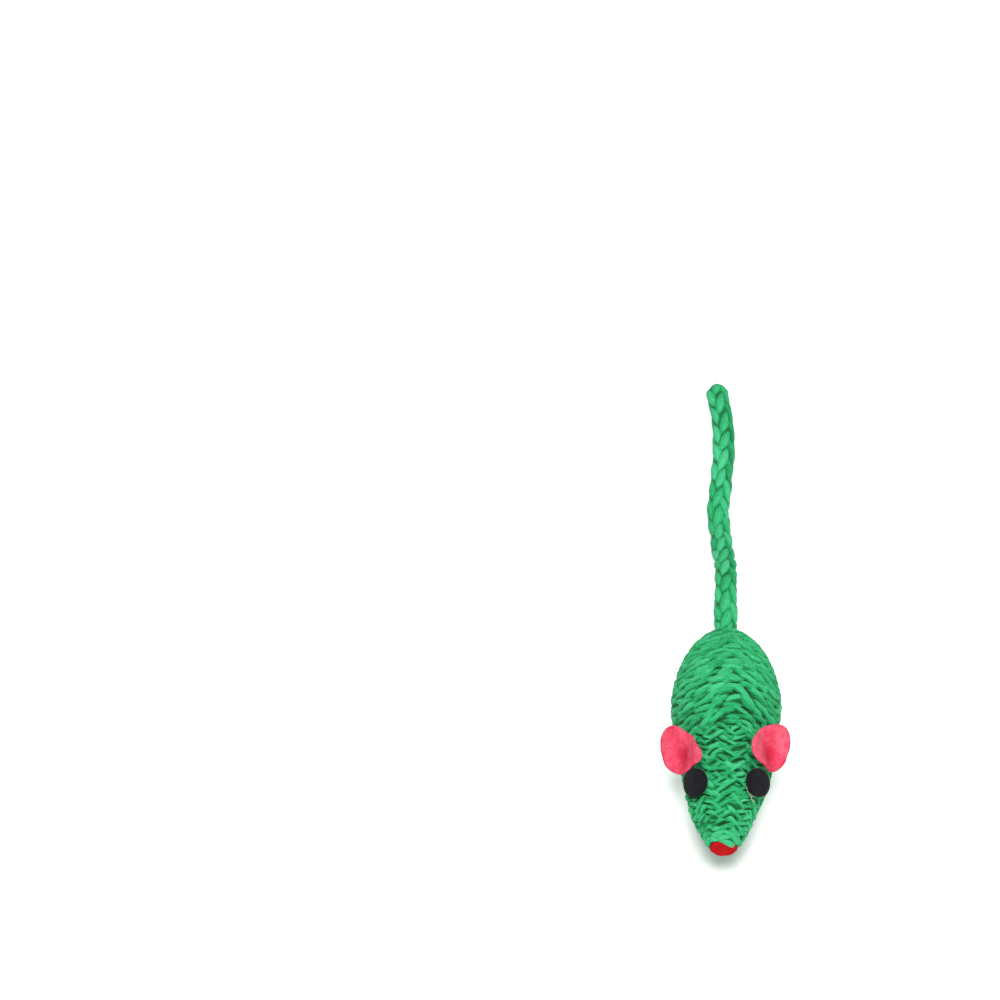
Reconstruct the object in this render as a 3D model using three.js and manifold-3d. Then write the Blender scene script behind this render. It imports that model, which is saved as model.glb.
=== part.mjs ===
// Rope mouse: one knitted cord wound round a two-cup rattle, with felt ears, eyes and a felt nose.
// Millimetres, +Z up. The nose points along -Y, the tail runs along +Y and the belly lies on z = 0.
import * as THREE from 'three';
import Module from 'manifold-3d';
import { mergeVertices } from 'three/addons/utils/BufferGeometryUtils.js';

// Wound body, measured over the cord
const bodyLength = 60.9;
const bodyRadius = 13.4;
const girthFromSnout = 39.8;
const snoutSquarenessShares = { along: 1.4, across: 2.05 };
const rumpSquarenessShares = { along: 1.8, across: 2 };
const meridianSteps = 480;

// Knitted cord: flattened where it is wound, round where it hangs free
const cordWidth = 4.4;
const cordThickness = 4;
const turnClearance = 0.6;
const poleHoleRadius = 1.1;
const curlRiseShare = 1.25;
const curlExitShare = 1.5;
const curlTurns = 0.45;
const turnSteps = 24;
const cordSides = 6;
const straightSteps = 2;
const firstTurnPlace = 0.25;
const bellyCutShare = 0.1;
const tailDiameter = 5.3;
const tailSides = 10;
const tailSteps = 9;

// Clearances
const seatClearance = 0.3;
const lapClearance = 0.3;

// Rattle: two moulded cups with a lap joint, and loose beads
const cupWall = 1.4;
const lapLength = 3;
const lapFromSnout = 33.5;
const cupCorner = 1.2;
const cupSegments = 32;
const cupStations = 12;
const beadDiameter = 3.6;
const beadPlaces = [24.5, 32, 39.5];
const beadSegments = 12;
const beadRings = 8;

// Felt and glue
const feltThickness = 1.2;
const feltEdge = 0.3;
const feltSegments = 24;
const glueThickness = 0.4;
const glueEdgeShare = 0.25;
const eyeDiameter = 7;
const eyeFromSnout = 15.3;
const eyeAngle = THREE.MathUtils.degToRad(43);
const eyeGlueRadius = 2.3;
const noseDiameter = 6.6;
const noseDrop = 0.8;
const noseGlueRadius = 1.4;
const noseGlueTipRadius = 0.6;
const noseGlueLength = 1.4;
const earDiameter = 11.6;
const earFromSnout = 22.5;
const earAngle = THREE.MathUtils.degToRad(44);
const earFace = new THREE.Vector3(0.76, -0.35, 0.55).normalize();
const earTipTurn = THREE.MathUtils.degToRad(40);
const earCupDepth = 0.8;
const earSetOut = 2.4;
const earSetBack = 1;
const earRings = 4;
const earGlueRadius = 0.9;

// Tail route, from the rump to the tip, along the middle of the cord
const tailRoute = [
  [0, 33.7, 12.96], [0, 36.5, 12.9], [0.1, 39, 12.5], [0.1, 42, 11.5], [0.1, 45, 10.1],
  [0, 48, 8.4], [-0.3, 51, 6.6], [-0.7, 54, 5], [-0.9, 57, 3.7], [-1.2, 60, 2.9],
  [-1.5, 63, 2.7], [-1.7, 66, 2.7], [-1.3, 69.5, 2.7], [-0.9, 73, 2.7], [-0.6, 77, 2.7],
  [-0.3, 81, 2.7], [-0.3, 85, 2.7], [-0.4, 89, 2.7], [-0.8, 93, 2.7], [-1.5, 97, 2.7],
  [-2.1, 100.9, 2.7],
];

// Sizes that follow from the ones above
const bellyCut = bellyCutShare * cordWidth;
const axisHeight = bodyRadius - bellyCut;
const endRingRadius = cordWidth / 2 + poleHoleRadius;
const curlRise = curlRiseShare * cordWidth;

const wasm = await Module();
wasm.setup();

// Geometry helpers

function closedGeometry(positions, triangles) {
  const raw = new THREE.BufferGeometry();
  raw.setAttribute('position', new THREE.Float32BufferAttribute(positions, 3));
  raw.setIndex(triangles);
  return tidySolid(raw);
}

// Merges shared vertices, drops empty triangles and turns the faces outward.
function tidySolid(source) {
  source.deleteAttribute('normal');
  source.deleteAttribute('uv');
  const merged = mergeVertices(source);
  const place = merged.getAttribute('position');
  const corners = [];
  let volume = 0;
  for (let i = 0; i < merged.index.count; i += 3) {
    const [a, b, c] = [0, 1, 2].map((k) => merged.index.getX(i + k));
    if (a === b || b === c || c === a) continue;
    corners.push(a, b, c);
    const [pa, pb, pc] = [a, b, c].map((k) => new THREE.Vector3().fromBufferAttribute(place, k));
    volume += pa.dot(pb.cross(pc));
  }
  if (volume < 0) corners.reverse();
  merged.setIndex(corners);
  merged.computeVertexNormals();
  return merged;
}

function toManifold(geometry) {
  return new wasm.Manifold(new wasm.Mesh({
    numProp: 3,
    vertProperties: new Float32Array(geometry.getAttribute('position').array),
    triVerts: new Uint32Array(geometry.index.array),
  }));
}

function fromManifold(solid) {
  const mesh = solid.getMesh();
  return closedGeometry(Array.from(mesh.vertProperties), Array.from(mesh.triVerts));
}

// A tube through rings of points, closed by a flat face at each end.
function tubeGeometry(rings) {
  const sides = rings[0].length;
  const positions = rings.flat().flatMap((point) => point.toArray());
  const triangles = [];
  for (let i = 0; i + 1 < rings.length; i += 1) {
    for (let k = 0; k < sides; k += 1) {
      const a = i * sides + k;
      const b = i * sides + (k + 1) % sides;
      triangles.push(a, b, a + sides, b, b + sides, a + sides);
    }
  }
  const last = (rings.length - 1) * sides;
  for (let k = 1; k + 1 < sides; k += 1) {
    triangles.push(0, k + 1, k);
    triangles.push(last, last + k, last + k + 1);
  }
  return closedGeometry(positions, triangles);
}

function latheGeometry(points, segments) {
  return tidySolid(new THREE.LatheGeometry(points.map(([x, y]) => new THREE.Vector2(x, y)), segments));
}

function named(name, geometry, material) {
  const mesh = new THREE.Mesh(geometry, material);
  mesh.name = name;
  return mesh;
}

// Body profile

// Meridian from the snout pole to the rump pole, moved in by an inset.
function meridian(inset) {
  const count = meridianSteps;
  const outline = [];
  for (let i = 0; i <= count; i += 1) {
    const angle = Math.PI * (i / count);
    const snout = angle < Math.PI / 2;
    const squareness = snout ? snoutSquarenessShares : rumpSquarenessShares;
    const reach = snout ? girthFromSnout : bodyLength - girthFromSnout;
    const side = snout ? -1 : 1;
    const radius = bodyRadius * Math.abs(Math.sin(angle)) ** (2 / squareness.across);
    const along = girthFromSnout + side * reach * Math.abs(Math.cos(angle)) ** (2 / squareness.along);
    outline.push({ radius, along });
  }
  outline[0].radius = 0;
  outline[count].radius = 0;
  return outline.map((point, i) => {
    const before = outline[Math.max(i - 1, 0)];
    const after = outline[Math.min(i + 1, count)];
    const normal = new THREE.Vector2(after.along - before.along, before.radius - after.radius).normalize();
    if (i === 0) normal.set(0, -1);
    if (i === count) normal.set(0, 1);
    return {
      radius: point.radius - inset * normal.x,
      along: point.along - inset * normal.y,
      normal,
    };
  });
}

function blendPoints(a, b, share) {
  return {
    radius: THREE.MathUtils.lerp(a.radius, b.radius, share),
    along: THREE.MathUtils.lerp(a.along, b.along, share),
    normal: a.normal.clone().lerp(b.normal, share).normalize(),
  };
}

// The point of a meridian at a given distance from the snout.
function meridianAt(line, along) {
  const next = line.findIndex((point) => point.along > along);
  const [a, b] = [line[next - 1], line[next]];
  return blendPoints(a, b, (along - a.along) / (b.along - a.along));
}

// A place on the outside of the body, with the direction that faces off it.
function onBody(along, angle, lift) {
  const { radius, along: s, normal } = meridianAt(meridian(0), along);
  const face = new THREE.Vector3(normal.x * Math.sin(angle), normal.y, normal.x * Math.cos(angle));
  const place = new THREE.Vector3(radius * Math.sin(angle), s, radius * Math.cos(angle));
  return { place: place.addScaledVector(face, lift), face };
}

// Wound cord

// The stretch of the cord's own meridian between its first and last ring, with lengths along it.
function woundMeridian() {
  const whole = meridian(cordThickness / 2);
  const wound = whole.filter((point) => point.radius >= endRingRadius);
  let travelled = 0;
  return wound.map((point, i) => {
    const before = wound[Math.max(i - 1, 0)];
    travelled += Math.hypot(point.radius - before.radius, point.along - before.along);
    return { ...point, travelled };
  });
}

function atTravelled(line, travelled) {
  const next = line.findIndex((point) => point.travelled >= travelled && point.travelled > 0);
  const index = next < 0 ? line.length - 1 : next;
  const [a, b] = [line[index - 1], line[index]];
  return blendPoints(a, b, (travelled - a.travelled) / (b.travelled - a.travelled));
}

function hermite(from, leave, to, arrive, u) {
  const square = u * u;
  const cube = square * u;
  return from * (2 * cube - 3 * square + 1) + leave * (cube - 2 * square + u)
    + to * (3 * square - 2 * cube) + arrive * (cube - square);
}

function ringPlace(angle, radius, along) {
  return new THREE.Vector3(radius * Math.sin(angle), along, radius * Math.cos(angle));
}

// From an end ring the cord curls in to the body's axis and then runs straight along it.
function curlAndStraight(end, beyond, stepAngle) {
  const steps = Math.round(curlTurns * turnSteps);
  const leave = (key) => (end[key] - beyond[key]) * steps;
  const places = [];
  for (let i = 1; i <= steps; i += 1) {
    const u = i / steps;
    const radius = hermite(end.radius, leave('radius'), 0, 0, u);
    const rise = hermite(0, leave('along'), curlRise, curlExitShare * curlRise, u);
    places.push(ringPlace(end.angle + i * stepAngle, radius, end.along + rise));
  }
  for (let i = 1; i <= straightSteps; i += 1) {
    places.push(new THREE.Vector3(0, end.along + curlRise + cordWidth * (i / straightSteps), 0));
  }
  return places;
}

function cordPath() {
  const line = woundMeridian();
  const total = line[line.length - 1].travelled;
  const steps = Math.floor((total / (cordWidth + turnClearance)) * turnSteps);
  const stepAngle = (2 * Math.PI) / turnSteps;
  const wound = [];
  for (let i = 0; i <= steps; i += 1) {
    const point = atTravelled(line, total * (i / steps));
    wound.push({ ...point, angle: 2 * Math.PI * firstTurnPlace + i * stepAngle });
  }
  const front = curlAndStraight(wound[0], wound[1], -stepAngle).reverse();
  const rear = curlAndStraight(wound[steps], wound[steps - 1], stepAngle);
  return {
    places: [...front, ...wound.map((w) => ringPlace(w.angle, w.radius, w.along)), ...rear],
    faces: wound.map((w) => ringPlace(w.angle, w.normal.x, w.normal.y)),
    firstWound: front.length,
    turns: steps / turnSteps,
  };
}

// At each place: the way the cord faces off the core, carried on without twist past the end rings.
function cordFrames({ places, faces, firstWound }) {
  const count = places.length;
  const lastWound = firstWound + faces.length - 1;
  const runs = places.map((place, i) => {
    const before = places[Math.max(i - 1, 0)];
    const after = places[Math.min(i + 1, count - 1)];
    return after.clone().sub(before).normalize();
  });
  const across = new Array(count);
  const settle = (i, wanted) => {
    across[i] = wanted.clone().addScaledVector(runs[i], -wanted.dot(runs[i])).normalize();
  };
  faces.forEach((face, k) => settle(firstWound + k, face));
  for (let i = firstWound - 1; i >= 0; i -= 1) settle(i, across[i + 1]);
  for (let i = lastWound + 1; i < count; i += 1) settle(i, across[i - 1]);
  return places.map((place, i) => ({ place, off: across[i], beside: runs[i].clone().cross(across[i]) }));
}

// The cord's section: flattened on the body, and swelling to the free cord's size by its very end.
function cordSection({ place, off, beside }, freeShare) {
  const ring = [];
  const flatToCorner = Math.sin(Math.PI / 3);
  const width = THREE.MathUtils.lerp(cordWidth, tailDiameter, freeShare);
  const height = THREE.MathUtils.lerp(cordThickness / flatToCorner, tailDiameter, freeShare);
  for (let k = 0; k < cordSides; k += 1) {
    const angle = 2 * Math.PI * (k / cordSides);
    ring.push(place.clone()
      .addScaledVector(beside, (width / 2) * Math.cos(angle))
      .addScaledVector(off, (height / 2) * Math.sin(angle)));
  }
  return ring;
}

// Least distance between stretches of the cord that lie further apart along it than its own bend.
function leastGap(rings, places) {
  const reach = places.map((place, i) => (i ? place.distanceTo(places[i - 1]) : 0));
  let least = Infinity;
  for (let i = 0; i < rings.length; i += 1) {
    let apart = 0;
    for (let j = i + 1; j < rings.length; j += 1) {
      apart += reach[j];
      const near = places[i].distanceTo(places[j]) < 2 * (cordWidth + turnClearance);
      if (apart > 2 * cordWidth && near) {
        for (const a of rings[i]) {
          for (const b of rings[j]) least = Math.min(least, a.distanceTo(b));
        }
      }
    }
  }
  return least;
}

const cord = cordPath();
const cordRings = cordFrames(cord).map((frame, i, all) => {
  const fromEnd = all.length - 1 - i;
  return cordSection(frame, Math.max(0, 1 - fromEnd / straightSteps));
});
const cordStart = cord.places[0].y;
const cordEnd = cord.places[cord.places.length - 1].y;
const snoutFace = Math.min(...cordRings.flat().map((point) => point.y));
const noseBack = snoutFace - seatClearance;
console.log(`cord winding: ${cord.turns.toFixed(1)} turns, least gap to itself `
  + `${leastGap(cordRings, cord.places).toFixed(2)} mm`);

// The body's frame: distance from the snout becomes y, centred between the nose and the cord's end.
const middle = (noseBack - feltThickness + cordEnd) / 2;
const mouse = new THREE.Group();
mouse.name = 'rope_mouse';
const body = new THREE.Group();
body.position.set(0, -middle, axisHeight);
mouse.add(body);

const yarn = new THREE.MeshStandardMaterial({ color: 0x2fae6b, roughness: 0.9, metalness: 0 });
const pinkFelt = new THREE.MeshStandardMaterial({ color: 0xf25578, roughness: 0.95, metalness: 0 });
const blackFelt = new THREE.MeshStandardMaterial({ color: 0x1e1e20, roughness: 0.95, metalness: 0 });
const redFelt = new THREE.MeshStandardMaterial({ color: 0xd81e2c, roughness: 0.95, metalness: 0 });
const cupPlastic = new THREE.MeshStandardMaterial({ color: 0x2b2d2c, roughness: 0.5, metalness: 0 });
const beadPlastic = new THREE.MeshStandardMaterial({ color: 0xb9bcc0, roughness: 0.4, metalness: 0 });
const hotGlue = new THREE.MeshStandardMaterial({ color: 0xe9e4c8, roughness: 0.25, metalness: 0 });

// Winding, cut flat where the belly rests
function windingGeometry() {
  const whole = toManifold(tubeGeometry(cordRings));
  const span = 2 * (bodyLength + cordEnd);
  const slab = new THREE.BoxGeometry(span, span, bodyRadius);
  slab.translate(0, 0, -axisHeight - bodyRadius / 2);
  return fromManifold(whole.subtract(toManifold(tidySolid(slab))));
}

body.add(named('body_winding', windingGeometry(), yarn));

// Rattle cups, thinner than the winding's inside by the seat clearance

const cupFront = cordStart + seatClearance;

function cupStation(inset, along) {
  const { radius } = meridianAt(meridian(inset), along);
  return [radius, along];
}

function cupLine(inset, from, to) {
  const line = [];
  for (let i = 0; i <= cupStations; i += 1) {
    line.push(cupStation(inset, THREE.MathUtils.lerp(from, to, i / cupStations)));
  }
  return line;
}

const outerInset = cordThickness + seatClearance;
const innerInset = outerInset + cupWall;
const lapInset = outerInset + cupWall / 2;

// Snout cup: a flat nose that the cord's start sits on, and a thin lip that enters the rump cup.
function frontCup() {
  const mouth = lapFromSnout + lapLength;
  const shoulder = cupFront + cupCorner;
  const floor = cupFront + cupWall;
  const noseRadius = cupStation(outerInset, shoulder)[0] - cupCorner;
  return latheGeometry([
    [0, cupFront],
    [noseRadius, cupFront],
    ...cupLine(outerInset, shoulder, lapFromSnout),
    cupStation(lapInset + lapClearance / 2, lapFromSnout),
    cupStation(lapInset + lapClearance / 2, mouth),
    ...cupLine(innerInset, mouth, floor + cupCorner),
    [noseRadius - cupWall / 2, floor],
    [0, floor],
  ], cupSegments);
}

// Rump cup: a rebate round its mouth takes the snout cup's lip.
function rearCup() {
  const edge = lapFromSnout + lapClearance;
  const ledge = lapFromSnout + lapLength + lapClearance;
  const pole = (inset) => bodyLength - inset;
  const quarter = (inset, from) => {
    const line = [];
    const whole = meridian(inset).filter((point) => point.along > from && point.radius > 0);
    for (let i = 1; i <= cupStations; i += 1) {
      const { radius, along } = whole[Math.floor((whole.length - 1) * (i / (cupStations + 1)))];
      line.push([radius, along]);
    }
    return line;
  };
  return latheGeometry([
    cupStation(outerInset, edge),
    ...quarter(outerInset, edge),
    [0, pole(outerInset)],
    [0, pole(innerInset)],
    ...quarter(innerInset, ledge).reverse(),
    cupStation(innerInset, ledge),
    cupStation(lapInset - lapClearance / 2, ledge),
    cupStation(lapInset - lapClearance / 2, edge),
    cupStation(outerInset, edge),
  ], cupSegments);
}

body.add(named('shell_front_cup', frontCup(), cupPlastic));
body.add(named('shell_rear_cup', rearCup(), cupPlastic));

// Beads lie along the bottom of the cups, each at its own place along the body.
beadPlaces.forEach((along, i) => {
  const wall = meridianAt(meridian(innerInset), along);
  const lift = seatClearance + beadDiameter / 2;
  const bead = named(
    `rattle_bead_${i + 1}`,
    tidySolid(new THREE.SphereGeometry(beadDiameter / 2, beadSegments, beadRings)),
    beadPlastic,
  );
  bead.position.set(0, along - lift * wall.normal.y, -(wall.radius - lift * wall.normal.x));
  body.add(bead);
});

// Felt and glue

// A round felt disc with a softened edge, lying on XY from z = 0 up.
function discGeometry(diameter, thickness, edge) {
  const radius = diameter / 2;
  const disc = latheGeometry([
    [0, 0],
    [radius - edge, 0],
    [radius, edge],
    [radius, thickness - edge],
    [radius - edge, thickness],
    [0, thickness],
  ], feltSegments);
  return disc.rotateX(Math.PI / 2);
}

// Turns a disc to a face and puts it there, on the right, or mirrored on the left.
function setFacing(mesh, place, face, sign) {
  const flip = new THREE.Vector3(sign, 1, 1);
  mesh.position.copy(place).multiply(flip);
  mesh.quaternion.setFromUnitVectors(new THREE.Vector3(0, 0, 1), face.clone().multiply(flip));
  return mesh;
}

// The ear leans off the body, so its glue faces halfway between the two and clears both.
const earRoot = onBody(earFromSnout, earAngle, 0);
const earGlueFace = earRoot.face.clone().add(earFace).normalize();
const earGlueTilt = earGlueRadius * Math.sin(earGlueFace.angleTo(earFace));
const earGlueSeat = onBody(earFromSnout, earAngle, seatClearance + earGlueTilt);
const earSeat = onBody(earFromSnout, earAngle, 2 * (seatClearance + earGlueTilt) + glueThickness);

// The ear's outline: round, with two straight edges that meet in a tip on the side that faces the spine.
function earRadius(angle) {
  const offTip = Math.abs(angle - Math.PI);
  return earDiameter / 2 / Math.cos(Math.max(0, earTipTurn - offTip));
}

// Right ear: a felt disc cupped about the place where it is glued.
function earGeometry(mirror) {
  const back = new THREE.Vector3(0, earFace.z, -earFace.y).normalize();
  const out = back.clone().cross(earFace);
  const positions = [];
  const place = (outward, backward, layer) => {
    const fromSeat = Math.hypot(outward, backward) / (earDiameter / 2);
    const rise = earCupDepth * fromSeat ** 2 + layer * feltThickness;
    const point = earSeat.place.clone()
      .addScaledVector(out, outward)
      .addScaledVector(back, backward)
      .addScaledVector(earFace, rise);
    positions.push(mirror * point.x, point.y, point.z);
  };
  const triangles = [];
  for (let layer = 0; layer < 2; layer += 1) {
    const first = positions.length / 3;
    place(earSetOut, earSetBack, layer);
    for (let ring = 1; ring <= earRings; ring += 1) {
      for (let k = 0; k < feltSegments; k += 1) {
        const angle = 2 * Math.PI * (k / feltSegments);
        const radius = earRadius(angle) * (ring / earRings);
        place(radius * Math.cos(angle) + earSetOut, radius * Math.sin(angle) + earSetBack, layer);
      }
    }
    for (let k = 0; k < feltSegments; k += 1) {
      const next = (k + 1) % feltSegments;
      const turned = (a, b, c) => triangles.push(...(layer ? [a, b, c] : [a, c, b]));
      turned(first, first + 1 + k, first + 1 + next);
      for (let ring = 1; ring < earRings; ring += 1) {
        const inner = first + 1 + (ring - 1) * feltSegments;
        turned(inner + k, inner + feltSegments + k, inner + next);
        turned(inner + next, inner + feltSegments + k, inner + feltSegments + next);
      }
    }
  }
  const layerSize = 1 + earRings * feltSegments;
  const rim = 1 + (earRings - 1) * feltSegments;
  for (let k = 0; k < feltSegments; k += 1) {
    const next = (k + 1) % feltSegments;
    triangles.push(rim + k, rim + next, layerSize + rim + k);
    triangles.push(rim + next, layerSize + rim + next, layerSize + rim + k);
  }
  return closedGeometry(positions, triangles);
}

function gluePad(name, radius) {
  return named(name, discGeometry(2 * radius, glueThickness, glueEdgeShare * glueThickness), hotGlue);
}

const eyeGlueSeat = onBody(eyeFromSnout, eyeAngle, seatClearance);
const eyeSeat = onBody(eyeFromSnout, eyeAngle, 2 * seatClearance + glueThickness);

[['left', -1], ['right', 1]].forEach(([side, sign]) => {
  body.add(named(`ear_${side}`, earGeometry(sign), pinkFelt));
  const earGlue = gluePad(`glue_ear_${side}`, earGlueRadius);
  body.add(setFacing(earGlue, earGlueSeat.place, earGlueFace, sign));
  const eye = named(`eye_${side}`, discGeometry(eyeDiameter, feltThickness, feltEdge), blackFelt);
  body.add(setFacing(eye, eyeSeat.place, eyeSeat.face, sign));
  const eyeGlue = gluePad(`glue_eye_${side}`, eyeGlueRadius);
  body.add(setFacing(eyeGlue, eyeGlueSeat.place, eyeGlueSeat.face, sign));
});

// Nose: a felt disc over the hole in the first turn, a little low, with a plug of glue in the hole.
const nose = named('nose', discGeometry(noseDiameter, feltThickness, feltEdge), redFelt);
nose.rotation.x = Math.PI / 2;
nose.position.set(0, noseBack, -noseDrop);
body.add(nose);
const noseGlue = named('glue_nose', latheGeometry([
  [0, 0],
  [noseGlueRadius, 0],
  [noseGlueTipRadius, noseGlueLength],
  [0, noseGlueLength],
], feltSegments), hotGlue);
noseGlue.position.y = snoutFace;
body.add(noseGlue);

// Tail: the cord's free end
function tailGeometry() {
  const route = new THREE.CatmullRomCurve3(tailRoute.map((point) => new THREE.Vector3(...point)));
  const section = new THREE.Shape();
  for (let k = 0; k < tailSides; k += 1) {
    const angle = 2 * Math.PI * (k / tailSides);
    const corner = [(tailDiameter / 2) * Math.cos(angle), (tailDiameter / 2) * Math.sin(angle)];
    if (k) section.lineTo(...corner);
    else section.moveTo(...corner);
  }
  const settings = { steps: tailSteps, extrudePath: route, bevelEnabled: false };
  return tidySolid(new THREE.ExtrudeGeometry(section, settings));
}

mouse.add(named('tail', tailGeometry(), yarn));

export default mouse;
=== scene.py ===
"""The looks of a rope mouse: a knitted cord wound round a rattle, with felt ears, eyes and a nose.

Shapes are worked out in millimetres in the body's own terms, and meshes are made in metres.
"""

import logging
import math
from collections.abc import Callable
from dataclasses import dataclass, field, replace
from enum import Enum

import bpy
import numpy as np
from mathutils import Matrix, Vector, noise


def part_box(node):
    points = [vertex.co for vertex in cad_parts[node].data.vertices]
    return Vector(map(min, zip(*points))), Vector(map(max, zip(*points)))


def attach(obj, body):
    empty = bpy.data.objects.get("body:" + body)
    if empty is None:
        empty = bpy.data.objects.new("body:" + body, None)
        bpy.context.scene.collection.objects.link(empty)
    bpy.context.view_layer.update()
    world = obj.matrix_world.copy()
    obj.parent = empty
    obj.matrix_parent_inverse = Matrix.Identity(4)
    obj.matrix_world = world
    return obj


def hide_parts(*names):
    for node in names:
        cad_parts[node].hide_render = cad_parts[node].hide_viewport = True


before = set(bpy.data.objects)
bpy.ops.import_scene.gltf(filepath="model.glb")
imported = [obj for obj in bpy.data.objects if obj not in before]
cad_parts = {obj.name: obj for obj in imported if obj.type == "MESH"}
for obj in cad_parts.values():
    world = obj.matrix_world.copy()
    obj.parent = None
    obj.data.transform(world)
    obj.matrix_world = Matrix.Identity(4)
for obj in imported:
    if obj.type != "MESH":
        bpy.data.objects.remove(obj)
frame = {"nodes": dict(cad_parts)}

log = logging.getLogger("rope_mouse")

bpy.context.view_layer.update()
METRES = 0.001
BODY = "mouse"

# The room left round a glued or seated piece, and the glue's thickness under the felt, in millimetres
CLEARANCE = 0.3
GLUE_THICKNESS = 0.4

# The tone of a mesh where nothing darkens or lightens it
PLAIN_TONE = 0.5

# The range that a noise texture's values mostly keep to
NOISE_RANGE = (0.3, 0.7)


class Side(Enum):
    """The side of the mouse a piece is on, as the sign of its x."""

    LEFT = -1
    RIGHT = 1

    @property
    def word(self) -> str:
        """The side's name as piece names use it."""
        return self.name.lower()


def unit(vectors: np.ndarray) -> np.ndarray:
    """Vectors of length one along the last axis."""
    return vectors / np.maximum(np.linalg.norm(vectors, axis=-1, keepdims=True), 1e-12)


def smooth(low: float, high: float, value: np.ndarray) -> np.ndarray:
    """A smooth step from 0 at low to 1 at high."""
    share = np.clip((np.asarray(value, float) - low) / (high - low), 0, 1)
    return share * share * (3 - 2 * share)


def slow_noise(places: np.ndarray, step: float, seed: int) -> np.ndarray:
    """Smooth random values from -1 to 1 along a line.

    Args:
        places: distances along the line.
        step: the distance between independent values.
        seed: the seed of the random draws.

    Returns:
        One value for each place.
    """
    count = int(np.ceil((places.max() - places.min()) / step)) + 3
    knots = np.random.default_rng(seed).uniform(-1, 1, count)
    at = (places - places.min()) / step
    low = np.floor(at).astype(int)
    share = smooth(0.0, 1.0, at - low)
    return knots[low] * (1 - share) + knots[low + 1] * share


def lengths(points: np.ndarray) -> np.ndarray:
    """The distance travelled along a line at each of its points."""
    return np.concatenate([[0], np.cumsum(np.linalg.norm(np.diff(points, axis=0), axis=1))])


class MeshBuilder:
    """Gathers closed shells and makes one mesh object of them."""

    def __init__(self, name: str) -> None:
        """Starts an empty mesh.

        Args:
            name: the piece's name.
        """
        self.name = name
        self.points: list[np.ndarray] = []
        self.faces: list[tuple[int, ...]] = []
        self.tones: list[np.ndarray] = []
        self.lays: list[np.ndarray] = []
        self.count = 0

    def add(
        self,
        points: np.ndarray,
        faces: list[tuple[int, ...]],
        tone: np.ndarray | float = PLAIN_TONE,
        lay: np.ndarray | None = None,
    ) -> None:
        """Adds points and faces.

        Args:
            points: places in millimetres, one row each.
            faces: corner indices, counted from the first of these points.
            tone: the yarn tone of the points, from 0 to 1, with painted shade and painted highlights on the
                yarn and painted crease shade on the ears.
            lay: across and along distances of the points on their strand, for its fibres.
        """
        self.points.append(points)
        self.faces.extend(tuple(i + self.count for i in f) for f in faces)
        self.tones.append(np.broadcast_to(np.asarray(tone, float), (len(points),)))
        self.lays.append(points[:, :2] if lay is None else lay)
        self.count += len(points)

    def finish(self, material: bpy.types.Material) -> bpy.types.Object:
        """Makes the object.

        Args:
            material: the finish of all its faces.

        Returns:
            The object, linked to the scene.
        """
        mesh = bpy.data.meshes.new(self.name)
        points = np.concatenate(self.points) * METRES
        mesh.from_pydata(points.tolist(), [], self.faces)
        tone = mesh.attributes.new("tone", "FLOAT", "POINT")
        tone.data.foreach_set("value", np.concatenate(self.tones).astype(np.float32))
        corner = np.zeros(len(mesh.loops), np.int32)
        mesh.loops.foreach_get("vertex_index", corner)
        lay = mesh.uv_layers.new(name="lay")
        lay.uv.foreach_set("vector", np.concatenate(self.lays)[corner].astype(np.float32).ravel())
        mesh.polygons.foreach_set("use_smooth", np.ones(len(mesh.polygons), bool))
        mesh.materials.append(material)
        mesh.update()
        obj = bpy.data.objects.new(self.name, mesh)
        bpy.context.scene.collection.objects.link(obj)
        return obj


def tube_faces(rings: int, sides: int) -> list[tuple[int, ...]]:
    """The faces of a tube through rings of points, closed at both ends.

    Args:
        rings: how many rings it has.
        sides: how many points each ring has.

    Returns:
        Corner indices, with the faces turned outward for rings that run counter-clockwise.
    """
    faces: list[tuple[int, ...]] = []
    for i in range(rings - 1):
        for k in range(sides):
            a, b = i * sides + k, i * sides + (k + 1) % sides
            faces.append((a, b, b + sides, a + sides))
    faces.append(tuple(reversed(range(sides))))
    faces.append(tuple(range((rings - 1) * sides, rings * sides)))
    return faces


# Materials


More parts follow.
